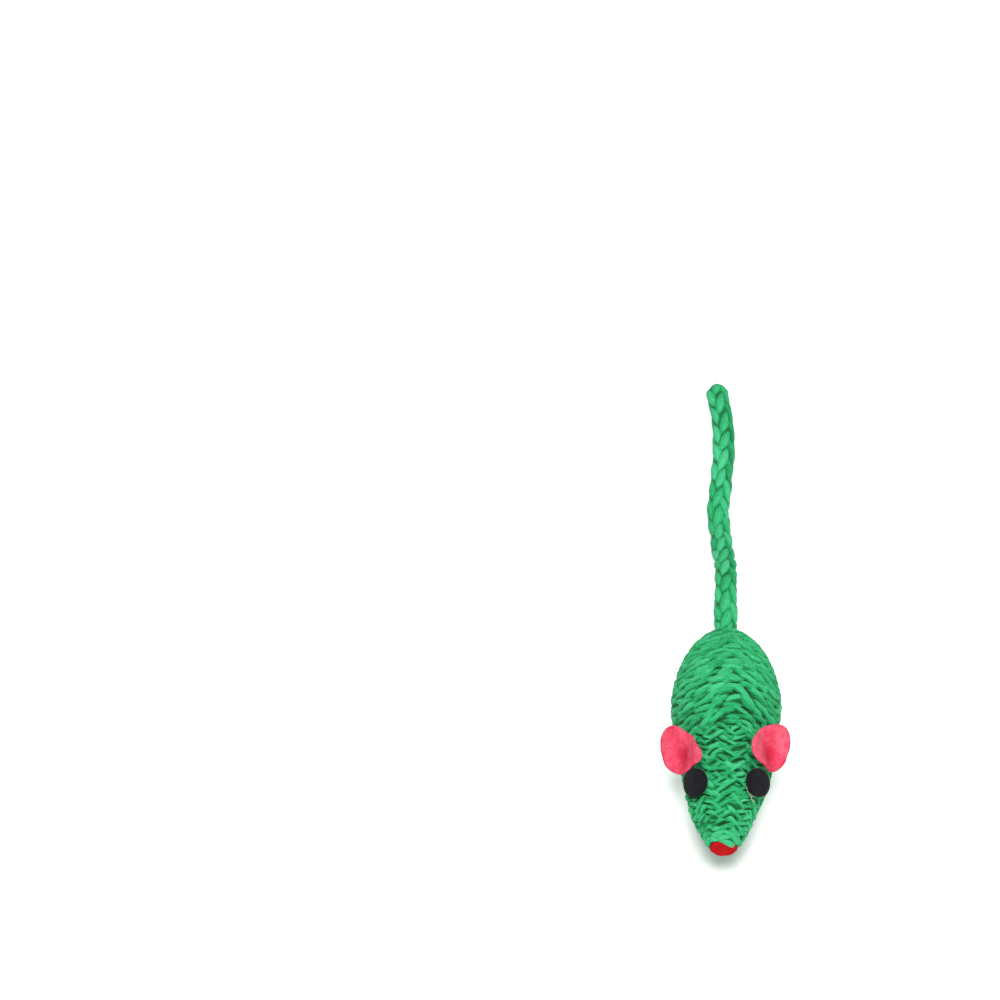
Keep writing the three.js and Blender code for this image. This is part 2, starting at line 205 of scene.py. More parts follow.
class Nodes:
    """Short ways to place and join shader nodes."""

    def __init__(self, tree: bpy.types.NodeTree) -> None:
        """Works on one node tree."""
        self.tree = tree

    def feed(self, node: bpy.types.Node, inputs: dict) -> None:
        """Joins sockets to a node's inputs, or sets the inputs' own values.

        Args:
            node: the node.
            inputs: values or output sockets for its inputs, by name or number.
        """
        for key, value in inputs.items():
            if isinstance(value, bpy.types.NodeSocket):
                self.tree.links.new(value, node.inputs[key])
            else:
                node.inputs[key].default_value = value

    def add(self, kind: str, inputs: dict | None = None, **settings: object) -> bpy.types.Node:
        """Adds a node.

        Args:
            kind: the node's type name.
            inputs: values or output sockets for its inputs, by name or number.
            **settings: the node's own properties.

        Returns:
            The node.
        """
        node = self.tree.nodes.new(kind)
        for key, value in settings.items():
            setattr(node, key, value)
        self.feed(node, inputs or {})
        return node

    def mix(self, share: object, a: object, b: object) -> bpy.types.NodeSocket:
        """Mixes two colours and gives the result's socket."""
        return self.add("ShaderNodeMix", {0: share, 6: a, 7: b}, data_type="RGBA").outputs[2]

    def math(self, operation: str, a: object, b: object = 0.0) -> bpy.types.NodeSocket:
        """Works out one sum of two values and gives the result's socket."""
        return self.add("ShaderNodeMath", {0: a, 1: b}, operation=operation).outputs[0]

    def vector(self, operation: str, a: object, b: object = (0, 0, 0)) -> bpy.types.Node:
        """Adds one sum of two vectors."""
        return self.add("ShaderNodeVectorMath", {0: a, 1: b}, operation=operation)

    def ramp(
        self, value: object, low: float, high: float, to_low: float = 0.0, to_high: float = 1.0
    ) -> bpy.types.NodeSocket:
        """Maps a value from one range to another, clamped, and gives the result's socket."""
        settings = {0: value, 1: low, 2: high, 3: to_low, 4: to_high}
        return self.add("ShaderNodeMapRange", settings, clamp=True).outputs[0]

    def place(self) -> bpy.types.NodeSocket:
        """Gives the place on the piece, in metres."""
        return self.add("ShaderNodeTexCoord").outputs["Object"]

    def noise(self, place: object, scale: float, detail: float) -> bpy.types.Node:
        """Adds a noise texture."""
        return self.add("ShaderNodeTexNoise", {"Vector": place, "Scale": scale, "Detail": detail})

    def tone(self) -> bpy.types.NodeSocket:
        """Gives the tone that the mesh carries, from 0 to 1."""
        return self.add("ShaderNodeAttribute", attribute_name="tone").outputs["Fac"]

    def bump(self, height: object, strength: float, depth: float) -> bpy.types.NodeSocket:
        """Gives the normal of a fine relief, with its depth in metres."""
        relief = {"Strength": strength, "Distance": depth, "Height": height}
        return self.add("ShaderNodeBump", relief).outputs[0]

    def background_seen(self) -> bpy.types.NodeSocket:
        """Gives 1 where the camera sees the background, directly, in a reflection or through glue."""
        rays = self.add("ShaderNodeLightPath").outputs
        mirrored = self.math("MAXIMUM", rays["Is Glossy Ray"], rays["Is Transmission Ray"])
        return self.math("MAXIMUM", rays["Is Camera Ray"], mirrored)


def fibre_group() -> bpy.types.NodeTree:
    """A shared effect: fine fibres that lie along a strand, or every way in felt.

    Returns:
        The node group, with Vector, Scale and Tangle in, and Fibre and Patch out.
    """
    found = bpy.data.node_groups.get("fibre_grain")
    if found:
        return found
    patch_scale = 0.18
    group = bpy.data.node_groups.new("fibre_grain", "ShaderNodeTree")
    group.interface.new_socket("Vector", in_out="INPUT", socket_type="NodeSocketVector")
    for name, value in (("Scale", 1.0), ("Tangle", 0.5)):
        socket = group.interface.new_socket(name, in_out="INPUT", socket_type="NodeSocketFloat")
        socket.default_value = value
    for name in ("Fibre", "Patch"):
        group.interface.new_socket(name, in_out="OUTPUT", socket_type="NodeSocketFloat")
    nodes = Nodes(group)
    come = nodes.add("NodeGroupInput").outputs
    fine = nodes.noise(come["Vector"], come["Scale"], 4.0)
    nodes.feed(fine, {"Roughness": 0.6, "Distortion": come["Tangle"]})
    wide = nodes.noise(come["Vector"], nodes.math("MULTIPLY", come["Scale"], patch_scale), 2.0)
    nodes.feed(wide, {"Roughness": 0.5})
    nodes.add("NodeGroupOutput", {
        "Fibre": nodes.ramp(fine.outputs[0], *NOISE_RANGE),
        "Patch": nodes.ramp(wide.outputs[0], *NOISE_RANGE),
    })
    return group


def add_fibres(nodes: Nodes, place: object, stretch: tuple, scale: float, tangle: float) -> object:
    """Places the fibre effect in a material.

    Args:
        nodes: the material's nodes.
        place: the socket that gives the place on the piece.
        stretch: how much closer the fibres lie in each direction.
        scale: how fine they are.
        tangle: how much they bend.

    Returns:
        The effect's outputs, Fibre and Patch.
    """
    stretched = nodes.add("ShaderNodeMapping", {"Vector": place, "Scale": stretch}).outputs[0]
    inputs = {"Vector": stretched, "Scale": scale, "Tangle": tangle}
    return nodes.add("ShaderNodeGroup", inputs, node_tree=fibre_group()).outputs


def new_material(name: str) -> tuple[bpy.types.Material, Nodes, bpy.types.Node]:
    """Makes a material with a Principled shader.

    Args:
        name: the finish's name.

    Returns:
        The material, its node helper and its shader node.
    """
    material = bpy.data.materials.new(name)
    material.use_nodes = True
    shader = material.node_tree.nodes["Principled BSDF"]
    return material, Nodes(material.node_tree), shader


@dataclass(frozen=True)
class YarnFinish:
    """Soft spun yarn, green with dye, with fibres along each strand."""

    name: str = "green_yarn"
    # deep is the painted shade of gaps and diving ends, and pale the painted highlight of the legs' lit
    # sides; both also colour the legs' own darker and paler tones
    deep: tuple = (0.002, 0.045, 0.012, 1)
    mid: tuple = (0.019, 0.375, 0.125, 1)
    pale: tuple = (0.085, 0.58, 0.28, 1)
    fibre_stretch: tuple = (9.0, 0.6, 1.0)
    fibre_scale: float = 1.5
    tangle: float = 0.5
    fibre_share: float = 0.4
    cloud_scale: float = 260.0
    cloud_share: float = 0.22
    roughness_range: tuple = (0.74, 0.90)
    relief: float = 0.55
    relief_depth: float = 0.00012
    sheen: float = 0.05
    sheen_roughness: float = 0.5
    sheen_tint: tuple = (0.75, 1.0, 0.85, 1)
    specular: float = 0.16

    def build(self) -> bpy.types.Material:
        """Makes the material."""
        material, nodes, shader = new_material(self.name)
        lay = nodes.add("ShaderNodeUVMap", uv_map="lay").outputs[0]
        grain = add_fibres(nodes, lay, self.fibre_stretch, self.fibre_scale, self.tangle)
        cloud = nodes.noise(nodes.place(), self.cloud_scale, 3.0).outputs[0]
        uneven = nodes.math("ADD", nodes.math("MULTIPLY", grain["Fibre"], self.fibre_share),
                            nodes.math("MULTIPLY", cloud, self.cloud_share))
        middle = (self.fibre_share + self.cloud_share) / 2
        # The tone holds each leg's own random tone together with painted shade and painted highlights, and
        # the mixes below turn it into colour
        bright = nodes.math("ADD", nodes.tone(), nodes.math("SUBTRACT", uneven, middle))
        blended = nodes.mix(nodes.ramp(bright, 0.0, 0.5), self.deep, self.mid)
        nodes.feed(shader, {
            "Base Color": nodes.mix(nodes.ramp(bright, 0.5, 1.0), blended, self.pale),
            "Roughness": nodes.ramp(grain["Patch"], 0.0, 1.0, *self.roughness_range),
            "Normal": nodes.bump(grain["Fibre"], self.relief, self.relief_depth),
            "Sheen Weight": self.sheen,
            "Sheen Roughness": self.sheen_roughness,
            "Sheen Tint": self.sheen_tint,
            "Specular IOR Level": self.specular,
        })
        return material


@dataclass(frozen=True)
class FeltFinish:
    """Pressed felt: matted fibres that lie every way, with a soft nap."""

    name: str
    deep: tuple
    main: tuple
    pale: tuple
    nap: float = 0.5
    nap_roughness: float = 0.45
    nap_tint: tuple = (1, 1, 1, 1)
    warp_scale: float = 700.0
    warp_reach: float = 0.0016
    fibre_lies: tuple = ((1.0, 0.16, 0.3), (0.2, 1.0, 0.35), (0.35, 0.25, 1.0))
    fibre_scale: float = 3600.0
    tangle: float = 0.8
    patch_range: tuple = (0.25, 0.75)
    gap_range: tuple = (0.35, 1.0)
    gap_depth: float = 0.6
    crease_shade_range: tuple = (0.0, 0.5)
    crease_shade_depth: float = 0.85
    roughness_range: tuple = (0.98, 0.86)
    relief: float = 0.7
    relief_depth: float = 0.00015
    specular: float = 0.08

    def build(self) -> bpy.types.Material:
        """Makes the material."""
        material, nodes, shader = new_material(self.name)
        place = nodes.place()
        warp = nodes.noise(place, self.warp_scale, 2.0).outputs["Color"]
        bent = nodes.vector("MULTIPLY", warp, (self.warp_reach,) * 3).outputs[0]
        moved = nodes.vector("ADD", place, bent).outputs[0]
        fibres = [add_fibres(nodes, moved, lie, self.fibre_scale, self.tangle) for lie in self.fibre_lies]
        matted = fibres[0]["Fibre"]
        for layer in fibres[1:]:
            matted = nodes.math("MAXIMUM", matted, layer["Fibre"])
        patch = nodes.math("MULTIPLY", nodes.math("ADD", fibres[0]["Patch"], fibres[1]["Patch"]), 0.5)
        blended = nodes.mix(nodes.ramp(patch, *self.patch_range), self.main, self.pale)
        shaded = nodes.mix(nodes.ramp(matted, *self.gap_range, self.gap_depth, 0.0), blended, self.deep)
        # Where the mesh's tone is low the felt is darkened toward deep: painted shade in an ear's crease
        crease_shade = nodes.ramp(nodes.tone(), *self.crease_shade_range, self.crease_shade_depth, 0.0)
        nodes.feed(shader, {
            "Base Color": nodes.mix(crease_shade, shaded, self.deep),
            "Roughness": nodes.ramp(matted, 0.0, 1.0, *self.roughness_range),
            "Normal": nodes.bump(matted, self.relief, self.relief_depth),
            "Sheen Weight": self.nap,
            "Sheen Roughness": self.nap_roughness,
            "Sheen Tint": self.nap_tint,
            "Specular IOR Level": self.specular,
        })
        return material


@dataclass(frozen=True)
class PlasticFinish:
    """Moulded plastic with faint flow marks, or clear glue."""

    name: str
    colour: tuple
    streak: tuple
    roughness: float
    transmission: float = 0.0
    flow_scale: float = 180.0
    flow_range: tuple = (0.35, 0.7)
    grain_scale: float = 2600.0
    smoother: float = 0.06
    rougher: float = 0.1
    relief: float = 0.25
    relief_depth: float = 0.00005

    def build(self) -> bpy.types.Material:
        """Makes the material."""
        material, nodes, shader = new_material(self.name)
        place = nodes.place()
        flow = nodes.noise(place, self.flow_scale, 4.0).outputs[0]
        grain = nodes.noise(place, self.grain_scale, 2.0).outputs[0]
        least, most = self.roughness - self.smoother, self.roughness + self.rougher
        nodes.feed(shader, {
            "Base Color": nodes.mix(nodes.ramp(flow, *self.flow_range), self.colour, self.streak),
            "Roughness": nodes.ramp(grain, *NOISE_RANGE, least, most),
            "Normal": nodes.bump(grain, self.relief, self.relief_depth),
            "Transmission Weight": self.transmission,
        })
        return material


@dataclass(frozen=True)
class FloorFinish:
    """A white table that keeps the mouse's shadow and glows a little to the camera beyond it; the glow is
    least in an oval under the nose, as painted shade there.
    """

    name: str = "white_table"
    shade: tuple = (0.93, 0.93, 0.93, 1)
    white: tuple = (0.96, 0.96, 0.96, 1)
    mottle_scale: float = 12.0
    roughness: float = 0.9
    specular: float = 0.1
    nose_place: tuple = (0.001, -0.057, 0.0)
    squash: tuple = (1.0, 2.0, 0.0)
    near_range: tuple = (0.006, 0.034)
    glow_near: float = 0.03
    glow_round: float = 0.3
    far_range: tuple = (0.10, 0.45)
    glow_far: float = 0.5

    def build(self) -> bpy.types.Material:
        """Makes the material."""
        material, nodes, shader = new_material(self.name)
        place = nodes.place()
        mottle = nodes.noise(place, self.mottle_scale, 2.0).outputs[0]
        nodes.feed(shader, {
            "Base Color": nodes.mix(mottle, self.shade, self.white),
            "Roughness": self.roughness,
            "Specular IOR Level": self.specular,
        })
        # Painted shade under the nose: the glow is least in an oval there and grows outward, and the far glow
        # adds more beyond the mouse
        oval = nodes.vector("MULTIPLY", place, self.squash).outputs["Vector"]
        from_nose = nodes.vector("DISTANCE", oval, self.nose_place).outputs["Value"]
        near = nodes.ramp(from_nose, *self.near_range, self.glow_near, self.glow_near + self.glow_round)
        away = nodes.vector("LENGTH", place).outputs["Value"]
        glow = nodes.math("ADD", near, nodes.ramp(away, *self.far_range, 0.0, self.glow_far))
        glow = nodes.math("MULTIPLY", nodes.background_seen(), glow)
        light = nodes.add("ShaderNodeEmission", {"Color": (1, 1, 1, 1), "Strength": glow})
        both = nodes.add("ShaderNodeAddShader", {0: shader.outputs[0], 1: light.outputs[0]})
        nodes.feed(material.node_tree.nodes["Material Output"], {"Surface": both.outputs[0]})
        return material


# The body's form and the cord's route, in millimetres


@dataclass(frozen=True)
class EggProfile:
    """The wound body's outline, from the snout pole to the rump pole."""

    length: float = 60.9
    radius: float = 13.4
    girth_from_snout: float = 39.8
    snout_along: float = 1.4
    snout_across: float = 2.05
    rump_along: float = 1.8
    rump_across: float = 2.0
    steps: int = 480

    def line(self, inset: float) -> np.ndarray:
        """The outline moved in by an inset.

        Args:
            inset: how far inside the outer surface it lies.

        Returns:
            One row for each point: radius, distance from the snout, and the outward normal's two parts.
        """
        angle = np.linspace(0, math.pi, self.steps + 1)
        snout = angle < math.pi / 2
        along_power = np.where(snout, self.snout_along, self.rump_along)
        across_power = np.where(snout, self.snout_across, self.rump_across)
        reach = np.where(snout, -self.girth_from_snout, self.length - self.girth_from_snout)
        radius = self.radius * np.abs(np.sin(angle)) ** (2 / across_power)
        along = self.girth_from_snout + reach * np.abs(np.cos(angle)) ** (2 / along_power)
        radius[[0, -1]] = 0
        before = np.maximum(np.arange(self.steps + 1) - 1, 0)
        after = np.minimum(np.arange(self.steps + 1) + 1, self.steps)
        normal = unit(np.stack([along[after] - along[before], radius[before] - radius[after]], 1))
        normal[0], normal[-1] = (0, -1), (0, 1)
        return np.column_stack([radius - inset * normal[:, 0], along - inset * normal[:, 1], normal])

    def at(self, along: float, inset: float = 0.0) -> np.ndarray:
        """The outline's row at a distance from the snout."""
        line = self.line(inset)
        return np.array([np.interp(along, line[:, 1], line[:, k]) for k in range(4)])


@dataclass(frozen=True)
class BodyFrame:
    """Where the body's own terms lie in the row's frame."""

    middle: float
    axis_height: float

    @classmethod
    def from_shell(cls, profile: EggProfile, cord_thickness: float) -> "BodyFrame":
        """Reads the frame off the rear cup, whose pole and axis are known.

        Args:
            profile: the body's outline.
            cord_thickness: how thick the wound cord is.

        Returns:
            The frame.
        """
        low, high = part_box("shell_rear_cup")
        pole = profile.length - cord_thickness - CLEARANCE
        return cls(pole - high.y / METRES, (low.z + high.z) / 2 / METRES)

    def place(self, points: np.ndarray) -> np.ndarray:
        """Moves points from the body's terms to the row's frame, in millimetres."""
        return points + np.array([0, -self.middle, self.axis_height])


def ring_places(angle: np.ndarray, radius: np.ndarray, along: np.ndarray) -> np.ndarray:
    """Points round the body's axis, with angle zero at the top."""
    return np.stack([radius * np.sin(angle), along, radius * np.cos(angle)], -1)


def hermite(a: float, leave: float, b: float, arrive: float, u: np.ndarray) -> np.ndarray:
    """A cubic from a to b with the given slopes at its ends.

    Args:
        a: the value at its start.
        leave: the slope there.
        b: the value at its end.
        arrive: the slope there.
        u: the share of the way, from 0 to 1.

    Returns:
        The value at each share.
    """
    square, cube = u * u, u * u * u
    start = a * (2 * cube - 3 * square + 1) + leave * (cube - 2 * square + u)
    return start + b * (3 * square - 2 * cube) + arrive * (cube - square)


@dataclass
class CordRoute:
    """The whole cord's centre line, from the front cup round the body and out along the tail."""

    profile: EggProfile
    frame: BodyFrame
    cord_width: float = 4.4
    cord_thickness: float = 4.0
    turn_clearance: float = 0.6
    gap_filled: float = 0.75
    pole_hole_radius: float = 1.1
    curl_rise_share: float = 1.25
    curl_exit_share: float = 1.5
    curl_turns: float = 0.45
    curl_run_points: int = 24
    turn_steps: int = 24
    fine: int = 8
    first_turn_place: float = 0.25
    tail_diameter: float = 5.3
    tail_points: int = 12
    swell_from: float = 4.0
    swell_to: float = 2.0
    nose_room: float = 0.2
    nose_hollow_slope: float = 6.0
    snout_lean: float = 0.75
    lean_range: tuple = (20.0, 10.0)
    step: float = 0.2
    tail_route: tuple = (
        (0, 33.7, 12.96), (0, 36.5, 12.9), (0.1, 39, 12.5), (0.1, 42, 11.5), (0.1, 45, 10.1),
        (0, 48, 8.4), (-0.3, 51, 6.6), (-0.7, 54, 5), (-0.9, 57, 3.7), (-1.2, 60, 2.9),
        (-1.5, 63, 2.7), (-1.7, 66, 2.7), (-1.3, 69.5, 2.7), (-0.9, 73, 2.7), (-0.6, 77, 2.7),
        (-0.3, 81, 2.7), (-0.3, 85, 2.7), (-0.4, 89, 2.7), (-0.8, 93, 2.7), (-1.5, 97, 2.7),
        (-2.1, 100.9, 2.7),
    )
    points: np.ndarray = field(init=False)
    off: np.ndarray = field(init=False)
    beside: np.ndarray = field(init=False)
    half_width: np.ndarray = field(init=False)
    half_height: np.ndarray = field(init=False)
    travelled: np.ndarray = field(init=False)
    wound_to: float = field(init=False)
    tail_from: float = field(init=False)
    first_angle: float = field(init=False)
    last_angle: float = field(init=False)
    meridian: np.ndarray = field(init=False)
    arc: np.ndarray = field(init=False)
    outer_arc: np.ndarray = field(init=False)
    first_place: float = field(init=False)
    last_place: float = field(init=False)
    turn_pitch: float = field(init=False)

    def __post_init__(self) -> None:
        """Works the route out."""
        line = self.profile.line(self.cord_thickness / 2)
        self.meridian, self.arc = line, lengths(line[:, :2])
        self.outer_arc = lengths(line[:, :2] + self.cord_thickness / 2 * line[:, 2:])
        held = np.flatnonzero(line[:, 0] >= self.cord_width / 2 + self.pole_hole_radius)
        self.first_place, self.last_place = float(self.arc[held[0]]), float(self.arc[held[-1]])
        line = line[held]
        gone = lengths(line[:, :2])
        pitch = self.cord_width + self.turn_clearance
        steps = math.floor(gone[-1] / pitch * self.turn_steps)
        self.turn_pitch = gone[-1] * self.turn_steps / steps
        share = np.linspace(0, 1, steps * self.fine + 1)
        rows = np.stack([np.interp(share * gone[-1], gone, line[:, k]) for k in range(4)], 1)
        angle = 2 * math.pi * self.first_turn_place + share * steps * 2 * math.pi / self.turn_steps
        wound = ring_places(angle, rows[:, 0], rows[:, 1])
        faces = ring_places(angle, rows[:, 2], rows[:, 3])
        coarse = np.array([0, self.fine])
        front = self._curl(rows[coarse], angle[0], -1)[::-1]
        rear = self._curl(rows[[-1, -1 - self.fine]], angle[-1], 1)
        body = self.frame.place(np.concatenate([front, wound, rear]))
        tail = self._tail()
        raw = np.concatenate([body, tail])
        off = np.full_like(raw, np.nan)
        off[len(front): len(front) + len(wound)] = faces
        self._settle(raw, off, len(front), len(front) + len(wound) - 1, len(body))
        self.first_angle, self.last_angle = float(angle[0]), float(angle[-1])

    def _curl(self, ends: np.ndarray, angle: float, sense: int) -> np.ndarray:
        """From an end ring in to the axis, and then straight along it.

        Args:
            ends: the outline's rows at the end ring and one coarse step before it.
            angle: the end ring's angle.
            sense: the way the angle runs on.

        Returns:
            The points after the end ring.
        """
        steps = round(self.curl_turns * self.turn_steps)
        rise_all = self.curl_rise_share * self.cord_width
        leave = (ends[0] - ends[1]) * steps
        u = np.linspace(0, 1, steps * self.fine + 1)[1:]
        radius = hermite(ends[0, 0], leave[0], 0, 0, u)
        rise = hermite(0, leave[1], rise_all, self.curl_exit_share * rise_all, u)
        turned = angle + sense * u * steps * 2 * math.pi / self.turn_steps
        curl = ring_places(turned, radius, ends[0, 1] + rise)
        run = np.linspace(0, 1, self.curl_run_points)[1:] * self.cord_width
        straight = np.column_stack([0 * run, ends[0, 1] + rise_all + run, 0 * run])
        return np.concatenate([curl, straight])

    def _tail(self) -> np.ndarray:
        """A smooth line through the tail's points."""
        knots = np.array(self.tail_route, float)
        ends = np.concatenate([[2 * knots[0] - knots[1]], knots, [2 * knots[-1] - knots[-2]]])
        u = np.linspace(0, 1, self.tail_points, endpoint=False)[:, None]
        parts = []
        for i in range(len(knots) - 1):
            a, b, c, d = ends[i: i + 4]
            bowed = 2 * b + (c - a) * u + (2 * a - 5 * b + 4 * c - d) * u**2
            parts.append(0.5 * (bowed + (3 * b - a - 3 * c + d) * u**3))
        return np.concatenate([*parts, knots[-1:]])

    def _settle(self, raw: np.ndarray, off: np.ndarray, first: int, last: int, body: int) -> None:
        """Spaces the points evenly and gives each its cross directions and section.

        Args:
            raw: the centre line's points.
            off: the way the cord faces off the core where it is wound, and nothing elsewhere.
            first: the first wound point's number.
            last: the last wound point's number.
            body: how many points there are before the tail's.
        """
        gone = lengths(raw)
        s = np.arange(0, gone[-1], self.step)
        self.travelled = s
        self.points = np.stack([np.interp(s, gone, raw[:, k]) for k in range(3)], 1)
        runs = unit(np.gradient(self.points, axis=0))
        across = np.zeros_like(self.points)
        wound = (s >= gone[first]) & (s <= gone[last])
        known = ~np.isnan(off[:, 0])
        across[wound] = np.stack([np.interp(s[wound], gone[known], off[known, k]) for k in range(3)], 1)
        lowest, highest = np.flatnonzero(wound)[[0, -1]]
        before = [(i, i + 1) for i in range(lowest - 1, -1, -1)]
        after = [(i, i - 1) for i in range(highest + 1, len(s))]
        for i, near in before + after:
            across[i] = across[near] - runs[i] * (across[near] @ runs[i])
        across = unit(across - runs * np.sum(across * runs, 1)[:, None])
        self.off, self.beside = across, np.cross(runs, across)
        self.wound_to, self.tail_from = gone[last], gone[body]
        free = smooth(gone[last] - self.swell_from, gone[body] - self.swell_to, s)
        wound_width = self.cord_width + self.gap_filled * self.turn_clearance
        self.half_width = (1 - free) * wound_width / 2 + free * self.tail_diameter / 2
        self.half_height = (1 - free) * self.cord_thickness / 2 + free * self.tail_diameter / 2

    def outer_radius(self, place: np.ndarray) -> np.ndarray:
        """The body's radius at places along the wound cord's meridian."""
        return self._meridian_sum(place, 0)

    def outer_along(self, place: np.ndarray) -> np.ndarray:
        """The distance from the snout at places along the wound cord's meridian."""
        return self._meridian_sum(place, 1)

    def outer_arc_at(self, place: np.ndarray) -> np.ndarray:
        """The distance over the body's surface from the snout pole."""
        return np.interp(place, self.arc, self.outer_arc)

    def _meridian_sum(self, place: np.ndarray, part: int) -> np.ndarray:
        """The radius or the distance from the snout, on the body's outer surface."""
        inner = np.interp(place, self.arc, self.meridian[:, part])
        return inner + self.cord_thickness / 2 * np.interp(place, self.arc, self.meridian[:, part + 2])

    def surface(self, angle: np.ndarray, place: np.ndarray, height: np.ndarray) -> np.ndarray:
        """Points on the wound body, flattened on the floor and hollowed for the nose.

        Args:
            angle: the angle from the top.
            place: the place along the wound cord's meridian.
            height: the height above the body's outer surface.

        Returns:
            The points, in the row's frame and in millimetres.
        """
        rows = [np.interp(place, self.arc, self.meridian[:, k]) for k in range(4)]
        lift = self.cord_thickness / 2 + height
        radius = np.maximum(rows[0] + lift * rows[2], 0)
        points = self.frame.place(ring_places(angle + 0 * place, radius, rows[1] + lift * rows[3]))
        points[..., 0] -= self.snout_lean * smooth(*self.lean_range, points[..., 1] + self.frame.middle)
        points[..., 2] = np.maximum(points[..., 2], 0.0)
        low, high = (np.array(corner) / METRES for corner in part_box("nose"))
        centre, reach = (low + high) / 2, (high[0] - low[0]) / 2
        away = np.hypot(points[..., 0] - centre[0] + self.snout_lean, points[..., 2] - centre[2])
        beyond = np.maximum(away - reach - self.nose_room, 0)
        hollow = high[1] + self.nose_room - self.nose_hollow_slope * beyond
        points[..., 1] = np.maximum(points[..., 1], hollow)
        return points

    def look_up(self, s: np.ndarray) -> tuple[np.ndarray, ...]:
        """The centre line, its two cross directions and its half sizes at distances along it.

        Args:
            s: the distances.

        Returns:
            The places, the directions off the core and beside it, the half width and the half height.
        """
        flat = np.clip(np.asarray(s, float), 0, self.travelled[-1]).ravel()
        shape = np.shape(s)

        def pick(values: np.ndarray) -> np.ndarray:
            """The values at those distances, in the shape that they came in.

            Args:
                values: one value or one row for each point of the line.

            Returns:
                The values between them.
            """
            if values.ndim == 1:
                return np.interp(flat, self.travelled, values).reshape(shape)
            parts = [np.interp(flat, self.travelled, values[:, k]) for k in range(3)]
            return np.stack(parts, -1).reshape(*shape, 3)

        directions = unit(pick(self.off)), unit(pick(self.beside))
        return pick(self.points), *directions, pick(self.half_width), pick(self.half_height)


@dataclass(frozen=True)
class Leg:
    """One leg of a stitch: a slim swelling that dives at both ends."""

    slant: float
    reach: float
    half_width: float
    lift: float
    bow: float
    ply_phase: float
    tone: float
    number: int


@dataclass(frozen=True)
class LegSpread:
    """How much the legs of a knit differ from one another."""

    slant: float
    reach: float
    width: float
    lift: float
    bow: float
    tones: tuple
    sunk: float = 0.04

    def leg(
        self, rng: np.random.Generator, slant: float, sense: int, reach: float, half_width: float, number: int
    ) -> Leg:
        """Draws one leg.

        Args:
            rng: the knit's random draws.
            slant: its usual slant, in degrees.
            sense: the side it falls to, as a sign.
            reach: its usual half length.
            half_width: its usual half width.
            number: its number in the knit.

        Returns:
            The leg.
        """
        return Leg(
            slant=sense * math.radians(slant + rng.normal(0, self.slant)),
            reach=reach * (1 + rng.normal(0, self.reach)),
            half_width=half_width * (1 + rng.normal(0, self.width)),
            lift=rng.normal(-self.sunk, self.lift),
            bow=rng.normal(0, self.bow),
            ply_phase=rng.uniform(0, 1),
            tone=rng.uniform(*self.tones),
            number=number,
        )


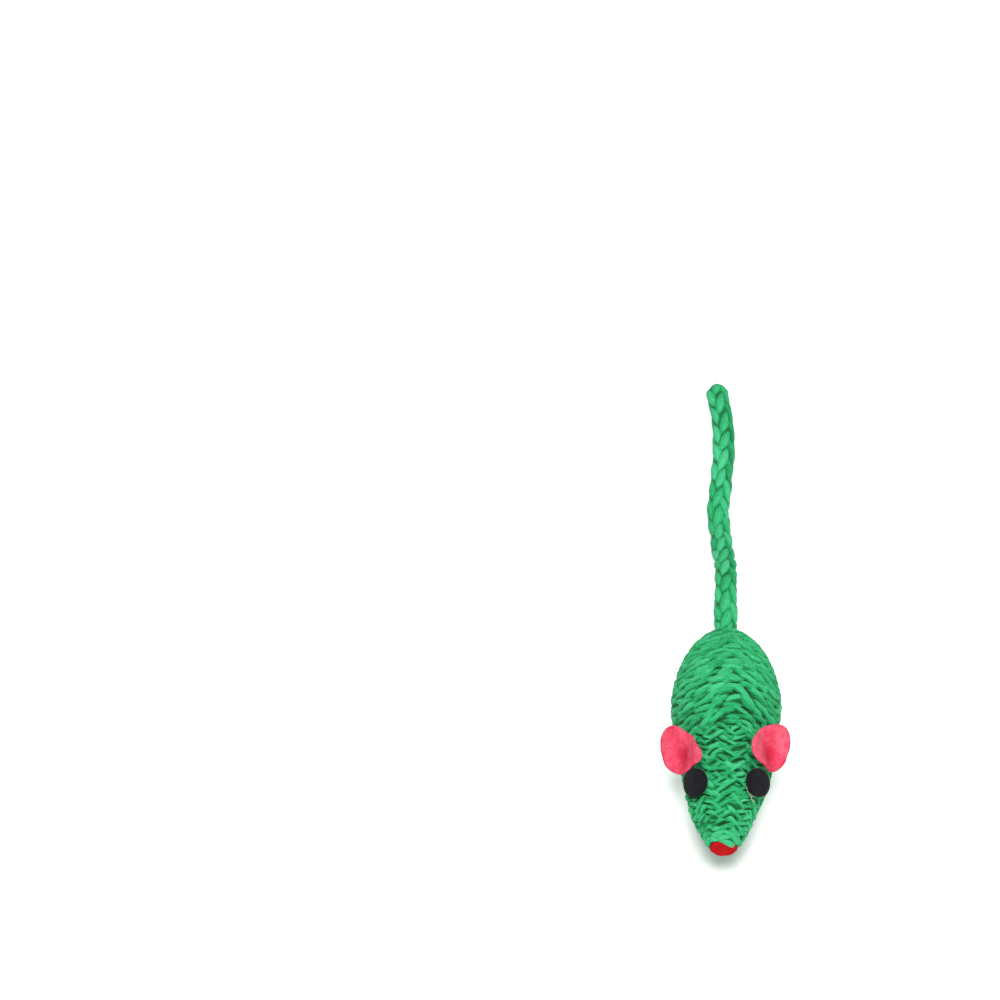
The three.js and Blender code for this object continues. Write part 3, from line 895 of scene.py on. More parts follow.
class StitchField:
    """The heights, tones and fibre lines of a stretch of cord, raised leg by leg."""

    PLY_WIDTH = 0.74
    PLY_DEPTH = 0.12
    PLY_TWIST = 0.55
    GROOVE_POWER = 3
    TIP_WIDTH = 0.16
    SWELL_POWERS = (2.1, 0.85)
    END_POWER = 2.4
    SIDE_POWER = 2.3
    SLIT_POWER = 0.7
    # Painted side light: how much lighter one side of each leg is made, and the other side darker
    PAINTED_SIDE_LIGHT = 0.19
    SHADE = 0.25
    SIDE_SHADE_FROM = 0.5
    END_SHADE_FROM = 0.6
    # The floor between legs takes a low tone, and LOW_TONE is the share of tone left where the surface lies
    # lowest: both are painted shade
    FLOOR_TONE = 0.35
    LOW_TONE = 0.1
    FIBRE_WIDTH = 0.35
    FIBRE_SHIFT = 3.1
    FIBRE_LANES = 7

    def __init__(
        self, rings: int, across: int, floor: float, dive: float, relief: float, tilt: float
    ) -> None:
        """Starts a bare surface.

        Args:
            rings: the points along the cord.
            across: the points across it.
            floor: how far below the cord's surface the gaps between legs are.
            dive: how far a leg's ends go down.
            relief: how far a leg's sides fall.
            tilt: how much higher one end of a leg lies than the other.
        """
        self.dive, self.relief, self.tilt = dive, relief, tilt
        self.height = np.full((rings, across), -floor)
        self.tone = np.full((rings, across), self.FLOOR_TONE)
        self.lay = np.zeros((rings, across, 2))

    def add(self, part: slice, along: np.ndarray, across: np.ndarray, leg: Leg) -> None:
        """Raises one leg wherever it stands above what is there.

        Args:
            part: the rings that it may reach.
            along: each point's distance from the leg's middle, along the cord.
            across: each point's distance from the leg's middle, across the cord.
            leg: the leg.
        """
        run, off = self._turned(along, across, leg)
        share = run / leg.reach
        ends = np.abs(share)
        swelling = np.maximum(1 - ends ** self.SWELL_POWERS[0], 0) ** self.SWELL_POWERS[1]
        wide = leg.half_width * (self.TIP_WIDTH + (1 - self.TIP_WIDTH) * swelling)
        side = np.abs(off / wide)
        ply = off / self.PLY_WIDTH + self.PLY_TWIST * share + leg.ply_phase
        groove = (0.5 + 0.5 * np.cos(2 * math.pi * ply)) ** self.GROOVE_POWER
        rise = leg.lift + self.tilt * share - self.dive * ends ** self.END_POWER
        rise = rise - self.relief * side ** self.SIDE_POWER - self.PLY_DEPTH * groove
        here = self.height[part]
        better = (ends < 1) & (rise > here)
        here[better] = rise[better]
        # Painted shade darkens each leg's sides, its diving ends and its ply grooves; painted side light
        # lightens the side toward the rump on the body and darkens the other side
        tone = leg.tone * (1 - self.SHADE * smooth(self.SIDE_SHADE_FROM, 1.0, side))
        tone = tone * (1 - self.SHADE * smooth(self.END_SHADE_FROM, 1.0, ends))
        tone = tone * (1 - self.SHADE * groove) + self.PAINTED_SIDE_LIGHT * np.clip(off / wide, -1, 1) * (1 - ends**2)
        self.tone[part][better] = tone[better]
        lane = leg.number % self.FIBRE_LANES
        lay = np.stack([self.FIBRE_WIDTH * off + lane, run + self.FIBRE_SHIFT * leg.number], -1)
        self.lay[part][better] = lay[better]

    def cut(self, part: slice, along: np.ndarray, across: np.ndarray, leg: Leg) -> None:
        """Opens a slit between two legs.

        Args:
            part: the rings that it may reach.
            along: each point's distance from the slit's middle, along the cord.
            across: each point's distance from the slit's middle, across the cord.
            leg: the slit's own slant, reach, half width and, as its lift, its depth.
        """
        run, off = self._turned(along, across, leg)
        open_share = np.maximum(1 - (run / leg.reach) ** 2, 0) ** self.SLIT_POWER
        self.height[part] -= leg.lift * open_share * np.exp(-((off / leg.half_width) ** 2))

    def _turned(self, along: np.ndarray, across: np.ndarray, leg: Leg) -> tuple[np.ndarray, np.ndarray]:
        """Distances along and across a bowed leg.

        Args:
            along: each point's distance from its middle, along the cord.
            across: each point's distance from its middle, across the cord.
            leg: the leg.

        Returns:
            The distance along the leg, and the distance off its bowed middle line.
        """
        run = along * math.cos(leg.slant) + across * math.sin(leg.slant)
        bend = leg.bow * (1 - (run / leg.reach) ** 2)
        return run, across * math.cos(leg.slant) - along * math.sin(leg.slant) - bend

    def shaded(self, deep: float, high: float) -> np.ndarray:
        """The tones, with painted shade where the surface lies low."""
        return self.tone * (self.LOW_TONE + (1 - self.LOW_TONE) * smooth(deep, high, self.height))


@dataclass
class WoundKnit:
    """The cord's knitting where it is wound: three rows of legs a turn at the rump, four at the face."""

    route: CordRoute
    leg_spacing_rump: float = 4.0
    leg_spacing_neck: float = 3.3
    neck_end: tuple = (28.0, 33.0)
    least_legs: int = 5
    ridge: float = 1.6
    ridge_least_radius: float = 4.0
    rump_band: float = 15.0
    flank_range: tuple = (2.5, 9.0)
    face_band_end: float = 17.3
    face_band_blend: float = 1.0
    rows_rump: int = 3
    rows_face: int = 4
    face_phase: float = 0.25
    rows_change: float = 29.0
    turn_sharpness: tuple = (4.0, 1.7)
    reach_share: float = 0.76
    slant: float = 28.0
    flank_slant: float = 15.0
    width_share: float = 0.53
    dive: float = 0.5
    relief: float = 0.5
    tilt: float = 0.12
    floor: float = 0.85
    shade_range: tuple = (-1.15, -0.3)
    spread: LegSpread = LegSpread(7.0, 0.12, 0.12, 0.06, 0.3, (0.42, 0.82))
    place_spread: float = 0.25
    row_spread: float = 0.12
    least_radius: float = 2.0
    window_slack: float = 1.0
    drift: float = 0.22
    drift_length: float = 2.2
    drift_seed: int = 5
    under_slant: float = -0.4
    under_reach: float = 0.8
    under_lift: float = -0.33
    # The share of its tone that a leg lying under a face row keeps, as painted shade
    under_shaded_tone: float = 0.75
    slit_share: float = 0.62
    slit_reach: tuple = (0.45, 0.85)
    slit_depth: tuple = (0.2, 1.4)
    slit_half_width: float = 0.15
    slit_edge: float = 0.95
    groove_depth: float = 0.55
    groove_range: tuple = (0.15, 0.8)
    groove_length: float = 1.4
    groove_half_width: float = 0.085
    groove_seed: int = 23
    run_in: float = 0.45
    run_out: float = 0.2
    pole_margin: float = 0.6
    rear_sunk: float = 0.4
    rear_sunk_over: float = 3.0
    core_depth: float = 3.4
    core_shares: tuple = (-0.46, -0.16, 0.16, 0.46)
    rings_a_turn: int = 400
    points_across: int = 41
    seed: int = 11

    @property
    def rate(self) -> float:
        """How far the cord's middle moves along the meridian with each radian."""
        return self.route.turn_pitch / (2 * math.pi)

    def _middle(self, angle: float | np.ndarray) -> float | np.ndarray:
        """The place of the cord's middle along the meridian, at an angle."""
        return self.route.first_place + (angle - self.route.first_angle) * self.rate

    def _spacing(self, along: float) -> float:
        """How far apart the legs of a row stand, at a distance from the snout."""
        share = float(smooth(*self.neck_end, np.array(along)))
        return self.leg_spacing_neck + (self.leg_spacing_rump - self.leg_spacing_neck) * share

    def lean(self, arc: float, along: float) -> float:
        """How a leg on the body slants: the bands of the herringbone.

        Args:
            arc: distance round the body from its top, toward the mouse's left.
            along: distance from the snout.

        Returns:
            The slant in degrees, above zero where legs fall toward the mouse's left.
        """
        off_ridge = arc - self.ridge
        if along > self.rows_change:
            sense = np.clip(self.turn_sharpness[0] * math.sin(math.pi * off_ridge / self.rump_band), -1, 1)
            share = float(smooth(*self.flank_range, np.array(abs(off_ridge))))
            return float(sense) * (self.slant * (1 - share) + self.flank_slant * share)
        blend = self.face_band_end - self.face_band_blend, self.face_band_end + self.face_band_blend
        shift = float(smooth(*blend, np.array(along)))
        sense = math.sin(math.pi * (off_ridge / self.leg_spacing_neck + shift))
        return self.slant * float(np.clip(self.turn_sharpness[1] * sense, -1, 1))

    def build(self, winding: MeshBuilder) -> None:
        """Makes the wound cord, pole to pole.

        Args:
            winding: takes the cord.
        """
        route = self.route
        start = route.first_angle - (route.first_place + self.run_in * route.turn_pitch) / self.rate
        beyond = route.arc[-1] - route.last_place + self.run_out * route.turn_pitch
        end = route.last_angle + beyond / self.rate
        rings = int((end - start) / (2 * math.pi) * self.rings_a_turn)
        angle = np.linspace(start, end, rings)[:, None]
        middle = self._middle(angle)
        share = np.linspace(0.5, -0.5, self.points_across)[None, :]
        place = np.clip(middle + share * route.turn_pitch, 0, route.arc[-1])
        sheet = StitchField(rings, self.points_across, self.floor, self.dive, self.relief, self.tilt)
        self._rows(sheet, angle[:, 0], place)
        self._open_grooves(sheet, angle[:, 0], share)
        sunk = self.rear_sunk * smooth(0.0, self.rear_sunk_over, angle - route.last_angle)
        outer = route.surface(angle, place, sheet.height - sunk)
        back_place = np.clip(middle + np.array([self.core_shares]) * route.turn_pitch, 0, route.arc[-1])
        back = route.surface(angle, back_place, np.full(back_place.shape, -self.core_depth))
        points = np.concatenate([outer, back], 1)
        # The knit's tones carry painted shade from the sheet, and the cord's back, deep in the body, takes
        # the darkest tone as painted shade
        tone = np.concatenate([sheet.shaded(*self.shade_range), np.zeros(back_place.shape)], 1)
        lay = np.concatenate([sheet.lay, np.zeros((*back_place.shape, 2))], 1)
        sides = self.points_across + back_place.shape[1]
        winding.add(points.reshape(-1, 3), tube_faces(rings, sides), tone.ravel(), lay.reshape(-1, 2))

    def _rows(self, sheet: StitchField, angles: np.ndarray, place: np.ndarray) -> None:
        """Lays the rows of legs on every turn, and opens slits at some of their edges.

        Args:
            sheet: takes the legs.
            angles: the angle of each ring of points.
            place: the place of each point along the meridian.
        """
        route = self.route
        rng = np.random.default_rng(self.seed)
        radii, outer_arc = route.outer_radius(place), route.outer_arc_at(place)
        drift = self.drift * slow_noise(angles, self.drift_length, self.drift_seed)

        def press(action: Callable, leg: Leg, middle: float, arc: float, radius: float) -> None:
            """Adds or cuts one leg in every stretch of the cord that it reaches.

            Args:
                action: the sheet's own add or cut.
                leg: the leg.
                middle: its middle's angle.
                arc: its middle's distance over the surface from the snout.
                radius: the body's radius there.
            """
            least = max(radius - self.window_slack, self.window_slack)
            window = min((leg.reach + leg.half_width) / least, math.pi)
            for whole in (-1, 0, 1):
                centre = middle + 2 * math.pi * whole
                first, last = np.searchsorted(angles, (centre - window, centre + window))
                if first < last:
                    part = slice(int(first), int(last))
                    run = (angles[part] - centre)[:, None] * (radii[part] + radius) / 2
                    action(part, run, outer_arc[part] - arc, leg)

        slits = []
        number = 0
        for side, phase, on_rump in self._row_places():
            count = self.rows_rump if on_rump else self.rows_face
            turn = float(angles[0])
            while turn < angles[-1]:
                spot = np.array(self._middle(turn) + side * route.turn_pitch)
                radius, along = float(route.outer_radius(spot)), float(route.outer_along(spot))
                spacing = self._spacing(along)
                step = 2 * math.pi / max(round(2 * math.pi * radius / spacing), self.least_legs)
                start = self.ridge / max(radius, self.ridge_least_radius) + phase * step
                turn = start + math.ceil((turn - start) / step + 1e-6) * step
                spot = np.array(self._middle(turn) + side * route.turn_pitch)
                along = float(route.outer_along(spot))
                near_pole = not self.pole_margin < spot < route.arc[-1] - self.pole_margin
                if near_pole or (along > self.rows_change) != on_rump:
                    continue
                wrapped = (turn + math.pi) % (2 * math.pi) - math.pi
                half_row = route.turn_pitch / count / 2
                row = float(route.outer_arc_at(spot + half_row) - route.outer_arc_at(spot - half_row))
                lean = self.lean(wrapped * radius, along)
                reach, half_width = self.reach_share * spacing, self.width_share * row
                leg = self.spread.leg(rng, lean, -1, reach, half_width, number)
                middle = turn + rng.normal(0, self.place_spread) / max(radius, self.least_radius)
                arc = float(route.outer_arc_at(spot)) + rng.normal(0, self.row_spread)
                arc = arc + float(np.interp(turn, angles, drift))
                press(sheet.add, leg, middle, arc, radius)
                if not on_rump:
                    slant, reach = self.under_slant * leg.slant, self.under_reach * leg.reach
                    # The under leg is darker, as painted shade beneath the legs above it
                    tone = self.under_shaded_tone * leg.tone
                    under = replace(leg, slant=slant, reach=reach, lift=self.under_lift, tone=tone)
                    press(sheet.add, under, middle + 0.5 * step, arc, radius)
                if rng.uniform() < self.slit_share:
                    slit = Leg(leg.slant, leg.reach * rng.uniform(*self.slit_reach), self.slit_half_width,
                               rng.uniform(*self.slit_depth), leg.bow, 0.0, 0.0, 0)
                    down = self.slit_edge * leg.half_width
                    across = down * math.sin(leg.slant) / max(radius, self.least_radius)
                    slits.append((slit, middle + across, arc - down * math.cos(leg.slant), radius))
                number += 1
        for slit in slits:
            press(sheet.cut, *slit)

    def _row_places(self) -> list[tuple[float, float, bool]]:
        """Each row's place across a turn, the shift of its legs, and whether it is the rump's."""
        rows = []
        for count, phase, on_rump in ((self.rows_rump, 0.0, True), (self.rows_face, self.face_phase, False)):
            rows.extend(((k + 0.5) / count - 0.5, (k % 2) / 2 + phase, on_rump) for k in range(count))
        return rows

    def _open_grooves(self, sheet: StitchField, angles: np.ndarray, share: np.ndarray) -> None:
        """Opens the joint between neighbouring turns here and there.

        Args:
            sheet: the surface to press in.
            angles: the angle of each ring of points.
            share: the place of each column of points across a turn.
        """
        wander = slow_noise(angles, self.groove_length, self.groove_seed)
        depth = self.groove_depth * smooth(*self.groove_range, wander)
        before = np.interp(angles - 2 * math.pi, angles, depth, left=0.0)
        for deep, edge in ((depth, 0.5), (before, -0.5)):
            sheet.height -= deep[:, None] * np.exp(-(((share - edge) / self.groove_half_width) ** 2))


@dataclass
class FreeKnit:
    """The cord's knitting where it is off the body: six columns of slanting legs."""

    route: CordRoute
    pitch: float = 5.3
    reach_share: float = 0.60
    half_width: float = 1.32
    slant: float = 21.0
    dive: float = 0.5
    relief: float = 0.5
    tilt: float = 0.1
    floor: float = 0.85
    shade_range: tuple = (-1.45, -0.35)
    spread: LegSpread = LegSpread(3.0, 0.05, 0.06, 0.04, 0.1, (0.5, 0.95))
    place_spread: float = 0.12
    column_spread: float = 2.0
    column_sway: float = 8.0
    sway_length: float = 9.0
    tip_round: float = 2.2
    tip_least: float = 0.0004
    fullness: float = 0.2
    full_over: float = 6.0
    root_flare: float = 0.45
    root_length: float = 9.0
    root_place: float = -5.0
    tuck: float = 2.4
    rises_from: float = 2.0
    risen: float = 8.5
    past_end: float = 2.0
    ring_step: float = 0.2
    ring_margin: int = 8
    points_round: int = 72
    seed: int = 12

    # Each column's place round the cord, in degrees, and the way its legs slant
    COLUMNS = ((0, 1), (60, -1), (120, 1), (180, -1), (-120, 1), (-60, -1))

    def build(self, winding: MeshBuilder, tail: MeshBuilder) -> None:
        """Makes the curl off the last turn, and the tail.

        Args:
            winding: takes the curl.
            tail: takes the tail.
        """
        route = self.route
        rng = np.random.default_rng(self.seed)
        start, end = route.wound_to, float(route.travelled[-1])
        rings = int((end - start) / self.ring_step)
        s = np.linspace(start, end, rings)
        angle = np.linspace(-math.pi, math.pi, self.points_round, endpoint=False)
        sheet = StitchField(rings, self.points_round, self.floor, self.dive, self.relief, self.tilt)
        radius = route.tail_diameter / 2
        reach = self.reach_share * self.pitch
        number = 0
        for column, sense in self.COLUMNS:
            first_middle = start + (0.5 * self.pitch if sense > 0 else 0.0)
            for middle in np.arange(first_middle, end + self.past_end, self.pitch):
                middle += rng.normal(0, self.place_spread)
                sway = self.column_sway * math.sin(middle / self.sway_length)
                turned = math.radians(column + sway + rng.normal(0, self.column_spread))
                leg = self.spread.leg(rng, self.slant, sense, reach, self.half_width, number)
                first = max(int((middle - leg.reach - start) / self.ring_step) - self.ring_margin, 0)
                count = int(2 * leg.reach / self.ring_step) + 2 * (self.ring_margin + 1)
                part = slice(first, min(first + count, rings))
                across = ((angle - turned + math.pi) % (2 * math.pi) - math.pi) * radius
                if part.start < rings:
                    along = (s[part] - middle)[:, None]
                    sheet.add(part, along + 0 * across[None, :], across[None, :] + 0 * along, leg)
                number += 1
        rise = smooth(route.wound_to + self.rises_from, route.wound_to + self.risen, s)
        points = self._places(s, angle, sheet.height - (self.tuck * (1 - rise))[:, None])
        tone, split = sheet.shaded(*self.shade_range), int(np.searchsorted(s, route.tail_from))
        for builder, part in ((winding, slice(0, split + 1)), (tail, slice(split, rings))):
            faces = tube_faces(len(s[part]), self.points_round)
            lay = sheet.lay[part].reshape(-1, 2)
            builder.add(points[part].reshape(-1, 3), faces, tone[part].ravel(), lay)

    def _places(self, s: np.ndarray, angle: np.ndarray, height: np.ndarray) -> np.ndarray:
        """Where the points lie, from their distance, angle and height.

        Args:
            s: the rings' distances along the cord.
            angle: the angles of a ring's points.
            height: each point's height off the cord's surface.

        Returns:
            The points, in the row's frame and in millimetres.
        """
        grid, round_grid = np.meshgrid(s, angle, indexing="ij")
        root = self.route.tail_from
        centre, off, beside, half_width, half_height = self.route.look_up(grid)
        past = np.clip((grid - (s[-1] - self.tip_round)) / self.tip_round, 0, 1)
        dome = np.sqrt(np.maximum(1 - past**2, self.tip_least))
        flare = self.root_flare * (1 - smooth(0, self.root_length, np.abs(grid - root - self.root_place)))
        full = flare + self.fullness * smooth(root - self.full_over, root, grid) + height
        high, wide = (half_height + full) * dome, (half_width + full) * dome
        points = centre + off * (high * np.cos(round_grid))[..., None]
        points = points + beside * (wide * np.sin(round_grid))[..., None]
        points[..., 2] = np.maximum(points[..., 2], 0.0)
        return points


@dataclass
class NoseEdge:
    """The stitches that lie over the upper edge of the nose."""

    route: CordRoute
    rings: int = 15
    sides: int = 16
    half_width: float = 0.8
    half_height: float = 0.6
    tip_width: float = 0.1
    swell_powers: tuple = (1.9, 0.85)
    set_back: float = 0.8
    end_drop: float = 0.45
    end_drop_power: float = 2.2
    cone: float = 0.35
    outward: float = 0.45
    tone: float = 0.7
    shade_range: tuple = (-0.5, 0.8)
    end_shade: float = 0.3
    fibre_width: float = 3
    fibre_shift: float = 5

    # Each one: angle from the top, radius, distance of the front from the snout pole, half length, slope
    STITCHES = (
        (0, 3.5, 1.6, 2.5, 0.2), (34, 2.5, 0.7, 2.7, -0.12), (58, 3.6, 1.5, 2.3, -0.2),
        (-44, 3.6, 1.9, 2.3, 0.2), (92, 3.8, 2.0, 2.2, 0.2), (-92, 3.8, 2.0, 2.2, -0.2),
        (24, 4.4, 2.1, 2.3, -0.3), (-22, 4.4, 2.1, 2.3, 0.3),
    )

    def build(self, winding: MeshBuilder) -> None:
        """Makes the stitches.

        Args:
            winding: takes them.
        """
        t = np.linspace(-1, 1, self.rings)
        ends = np.abs(t)
        turn = np.linspace(0, 2 * math.pi, self.sides, endpoint=False)
        swelling = np.maximum(1 - ends ** self.swell_powers[0], 0) ** self.swell_powers[1]
        fat = swelling * (1 - self.tip_width) + self.tip_width
        lean = np.array([self.route.snout_lean, 0, 0])
        for number, (turned, radius, front, reach, slope) in enumerate(self.STITCHES):
            angle = math.radians(turned) + t * reach / radius
            ring = radius + t * reach * slope
            along = front + self.set_back + self.end_drop * ends ** self.end_drop_power
            along = along + self.cone * (ring - radius)
            spine = self.route.frame.place(ring_places(angle, ring, along)) - lean
            run = unit(np.gradient(spine, axis=0))
            out = unit(ring_places(angle, np.full_like(t, self.outward), np.full_like(t, -1.0)))
            out = unit(out - run * np.sum(out * run, -1)[:, None])
            side = np.cross(run, out)
            high = (self.half_height * fat[:, None] * np.cos(turn))[..., None]
            wide = (self.half_width * fat[:, None] * np.sin(turn))[..., None]
            points = spine[:, None] + out[:, None] * high + side[:, None] * wide
            # Painted light and shade: each stitch is lighter on its outer face, darker down to half its tone
            # on its inner face, and darker toward its ends
            lit = self.tone * (0.5 + 0.5 * smooth(*self.shade_range, np.cos(turn)))[None, :]
            tone = lit * (1 - self.end_shade * ends[:, None] ** 3)
            lay = np.meshgrid(turn / self.fibre_width + number, t * reach + self.fibre_shift * number)
            faces = tube_faces(self.rings, self.sides)
            winding.add(points.reshape(-1, 3), faces, tone.ravel(), np.stack(lay, -1).reshape(-1, 2))


# Felt pieces and their glue


@dataclass(frozen=True)
class Seat:
    """A place on the body and the way a piece faces there, in the body's own terms."""

    place: np.ndarray
    face: np.ndarray

    @classmethod
    def on_body(cls, profile: EggProfile, along: float, angle: float, lift: float, side: Side) -> "Seat":
        """A place on the outside of the body.

        Args:
            profile: the body's outline.
            along: the distance from the snout.
            angle: the angle from the top, in radians.
            lift: the height off the surface.
            side: the side it is on.

        Returns:
            The seat.
        """
        radius, s, across, forward = profile.at(along)
        turn = side.value * angle
        face = np.array([across * math.sin(turn), forward, across * math.cos(turn)])
        return cls(np.array([radius * math.sin(turn), s, radius * math.cos(turn)]) + lift * face, face)


def felt_shell(
    heights: np.ndarray, plane: np.ndarray, basis: np.ndarray, thickness: float, segments: int
) -> tuple[np.ndarray, list[tuple[int, ...]]]:
    """A sheet of felt with a rounded rim, from rings of points.

    Args:
        heights: the rise of its middle layer at each point, ring by ring from the centre out.
        plane: the two in-plane distances of each point.
        basis: the seat's place and three directions, as rows.
        thickness: the felt's thickness.
        segments: the points of each ring.

    Returns:
        The points and the faces.
    """
    thins_from, thinned, least_left = 0.86, 0.85, 0.02
    rings = (len(heights) - 1) // segments
    share = np.concatenate([[0], np.repeat(np.arange(1, rings + 1) / rings, segments)])
    left = np.maximum(1 - smooth(thins_from, 1.0, share) * thinned, least_left)
    half = thickness / 2 * np.sqrt(left)
    flat = basis[0] + plane[:, :1] * basis[1] + plane[:, 1:2] * basis[2]
    layers = [flat + (heights + sense * half)[:, None] * basis[3] for sense in (-1, 1)]
    faces: list[tuple[int, ...]] = []
    size = len(heights)
    for layer in range(2):
        first = layer * size
        for k in range(segments):
            nxt = (k + 1) % segments
            corners = (first, first + 1 + k, first + 1 + nxt)
            faces.append(corners if layer else corners[::-1])
            for ring in range(rings - 1):
                a = first + 1 + ring * segments
                quad = (a + k, a + segments + k, a + segments + nxt, a + nxt)
                faces.append(quad if layer else quad[::-1])
    rim = 1 + (rings - 1) * segments
    for k in range(segments):
        nxt = (k + 1) % segments
        faces.append((rim + k, rim + nxt, size + rim + nxt, size + rim + k))
    return np.concatenate(layers), faces


def disc_grid(rings: int, segments: int) -> tuple[np.ndarray, np.ndarray]:
    """Each point's angle and share of the radius, ring by ring, for a disc without its middle point."""
    angle = np.tile(np.linspace(0, 2 * math.pi, segments, endpoint=False), rings)
    return angle, np.repeat(np.arange(1, rings + 1) / rings, segments)


def matted(points: np.ndarray, face: np.ndarray, size: float, amount: float) -> np.ndarray:
    """Roughens felt a little, as its fibres do.

    Args:
        points: its points.
        face: the way it faces, to move them along.
        size: the size of the unevenness.
        amount: its height.

    Returns:
        The moved points.
    """
    fineness, step, layers = 0.8, 2.0, 3
    lift = np.array([noise.fractal(Vector(p / size), fineness, step, layers) for p in points])
    return points + face * (amount * lift)[:, None]


@dataclass
class Ear:
    """A felt disc, squeezed into a fold where it is glued and cupped about that place, with a cut edge of its
    own.
    """

    profile: EggProfile
    body: BodyFrame
    side: Side
    set_out: float
    turned: float
    edge: tuple
    set_back: float = 1.0
    diameter: float = 11.6
    thickness: float = 1.2
    from_snout: float = 22.5
    angle: float = math.radians(44)
    face: tuple = (0.76, -0.35, 0.55)
    glue_radius: float = 0.9
    cup_depth: float = 0.8
    fold_depth: float = 0.34
    fold_place: float = 0.2
    fold_lean: float = 0.5
    fold_round: float = 0.7
    fold_reach: float = 3.0
    # Where the painted crease shade is deepest, its reach, and how much it is stretched backward
    pinch: tuple = (0.6, -0.6)
    crease_shade_reach: float = 2.0
    crease_shade_squash: float = 0.6
    matting: tuple = (1.6, 0.10)
    rings: int = 14
    segments: int = 72

    def seat(self) -> tuple[Seat, np.ndarray]:
        """The place the ear is glued at and the way it faces."""
        face = unit(np.array(self.face) * (self.side.value, 1, 1))
        root = Seat.on_body(self.profile, self.from_snout, self.angle, 0, self.side)
        between = unit(root.face + face)
        tilt = self.glue_radius * math.sin(math.acos(min(1.0, float(between @ face))))
        lift = 2 * (CLEARANCE + tilt) + GLUE_THICKNESS
        return Seat.on_body(self.profile, self.from_snout, self.angle, lift, self.side), face

    def build(self, material: bpy.types.Material) -> bpy.types.Object:
        """Makes the ear.

        Args:
            material: the finish it takes.

        Returns:
            The ear.
        """
        seat, face = self.seat()
        back = unit(np.array([0, face[2], -face[1]]))
        out = np.cross(back, face) * self.side.value
        angle, share = disc_grid(self.rings, self.segments)
        radius = self._edge_radius(angle) * share
        angle = angle - self.turned
        middle = np.array([[self.set_out, self.set_back]])
        plane = middle + np.stack([radius * np.cos(angle), radius * np.sin(angle)], 1)
        plane = np.concatenate([middle, plane])
        heights = self._heights(plane) + self.thickness / 2
        basis = np.stack([self.body.place(seat.place), out, back, face])
        points, faces = felt_shell(heights, plane, basis, self.thickness, self.segments)
        if self.side is Side.LEFT:
            faces = [f[::-1] for f in faces]
        # Painted shade: the tone falls toward the fold's pinch, darkening the felt as the crease's shade
        across, along = (plane - self.pinch).T
        away = np.hypot(across, self.crease_shade_squash * along)
        tone = PLAIN_TONE * (1 - np.exp(-((away / self.crease_shade_reach) ** 2)))
        builder = MeshBuilder(f"felt_ear_{self.side.word}")
        builder.add(matted(points, face, *self.matting), faces, np.tile(tone, 2))
        return builder.finish(material)

    def _edge_radius(self, angle: np.ndarray) -> np.ndarray:
        """The cut edge's distance from the ear's middle.

        Args:
            angle: the angles to find it at.

        Returns:
            The disc's own radius with the ear's corner, bulges and hollows.
        """
        radius = np.full_like(angle, self.diameter / 2)
        for place, out, half_width in self.edge:
            off = (np.degrees(angle) - place + 180) % 360 - 180
            radius = radius + out * np.exp(-((off / half_width) ** 2))
        return radius

    def _heights(self, plane: np.ndarray) -> np.ndarray:
        """The cup and its pinched fold, as a rise at each point.

        Args:
            plane: each point's distances outward and backward.

        Returns:
            The rises.
        """
        outward, backward = plane.T
        cup = self.cup_depth * (np.hypot(outward, backward) / (self.diameter / 2)) ** 2
        off_fold = outward - self.fold_place + self.fold_lean * (backward - self.set_back)
        ridge = np.sqrt(off_fold**2 + self.fold_round**2) - self.fold_round
        return cup + self.fold_depth * np.minimum(ridge, self.fold_reach)


@dataclass
class FeltDisc:
    """A punched felt disc: an eye or the nose."""

    name: str
    body: BodyFrame
    seat: Seat
    diameter: float
    thickness: float = 1.2
    stretch: float = 1.0
    bend: float = 0.0
    bend_along: tuple = (1, 0, 0)
    matting: tuple = (1.3, 0.07)
    rings: int = 8
    segments: int = 64

    # Each wave of the uneven cut: height as a share of the radius, waves round the disc, and shift
    WAVES = ((0.012, 3, 0.4), (0.008, 7, 2.0))

    def build(self, material: bpy.types.Material) -> bpy.types.Object:
        """Makes the disc.

        Args:
            material: the finish it takes.

        Returns:
            The disc.
        """
        face = self.seat.face
        across = np.array(self.bend_along, float)
        across = unit(across - face * (across @ face))
        other = np.cross(face, across)
        angle, share = disc_grid(self.rings, self.segments)
        uneven = 1
        for height, waves, shift in self.WAVES:
            uneven = uneven + height * np.sin(waves * angle + shift)
        radius = self.diameter / 2 * share * uneven
        plane = np.stack([radius * np.cos(angle) * self.stretch, radius * np.sin(angle)], 1)
        plane = np.concatenate([[[0.0, 0.0]], plane])
        heights = -self.bend * (plane[:, 0] / (self.diameter / 2)) ** 2 + self.thickness / 2
        basis = np.stack([self.body.place(self.seat.place), across, other, face])
        points, faces = felt_shell(heights, plane, basis, self.thickness, self.segments)
        builder = MeshBuilder(self.name)
        builder.add(matted(points, face, *self.matting), faces)
        return builder.finish(material)


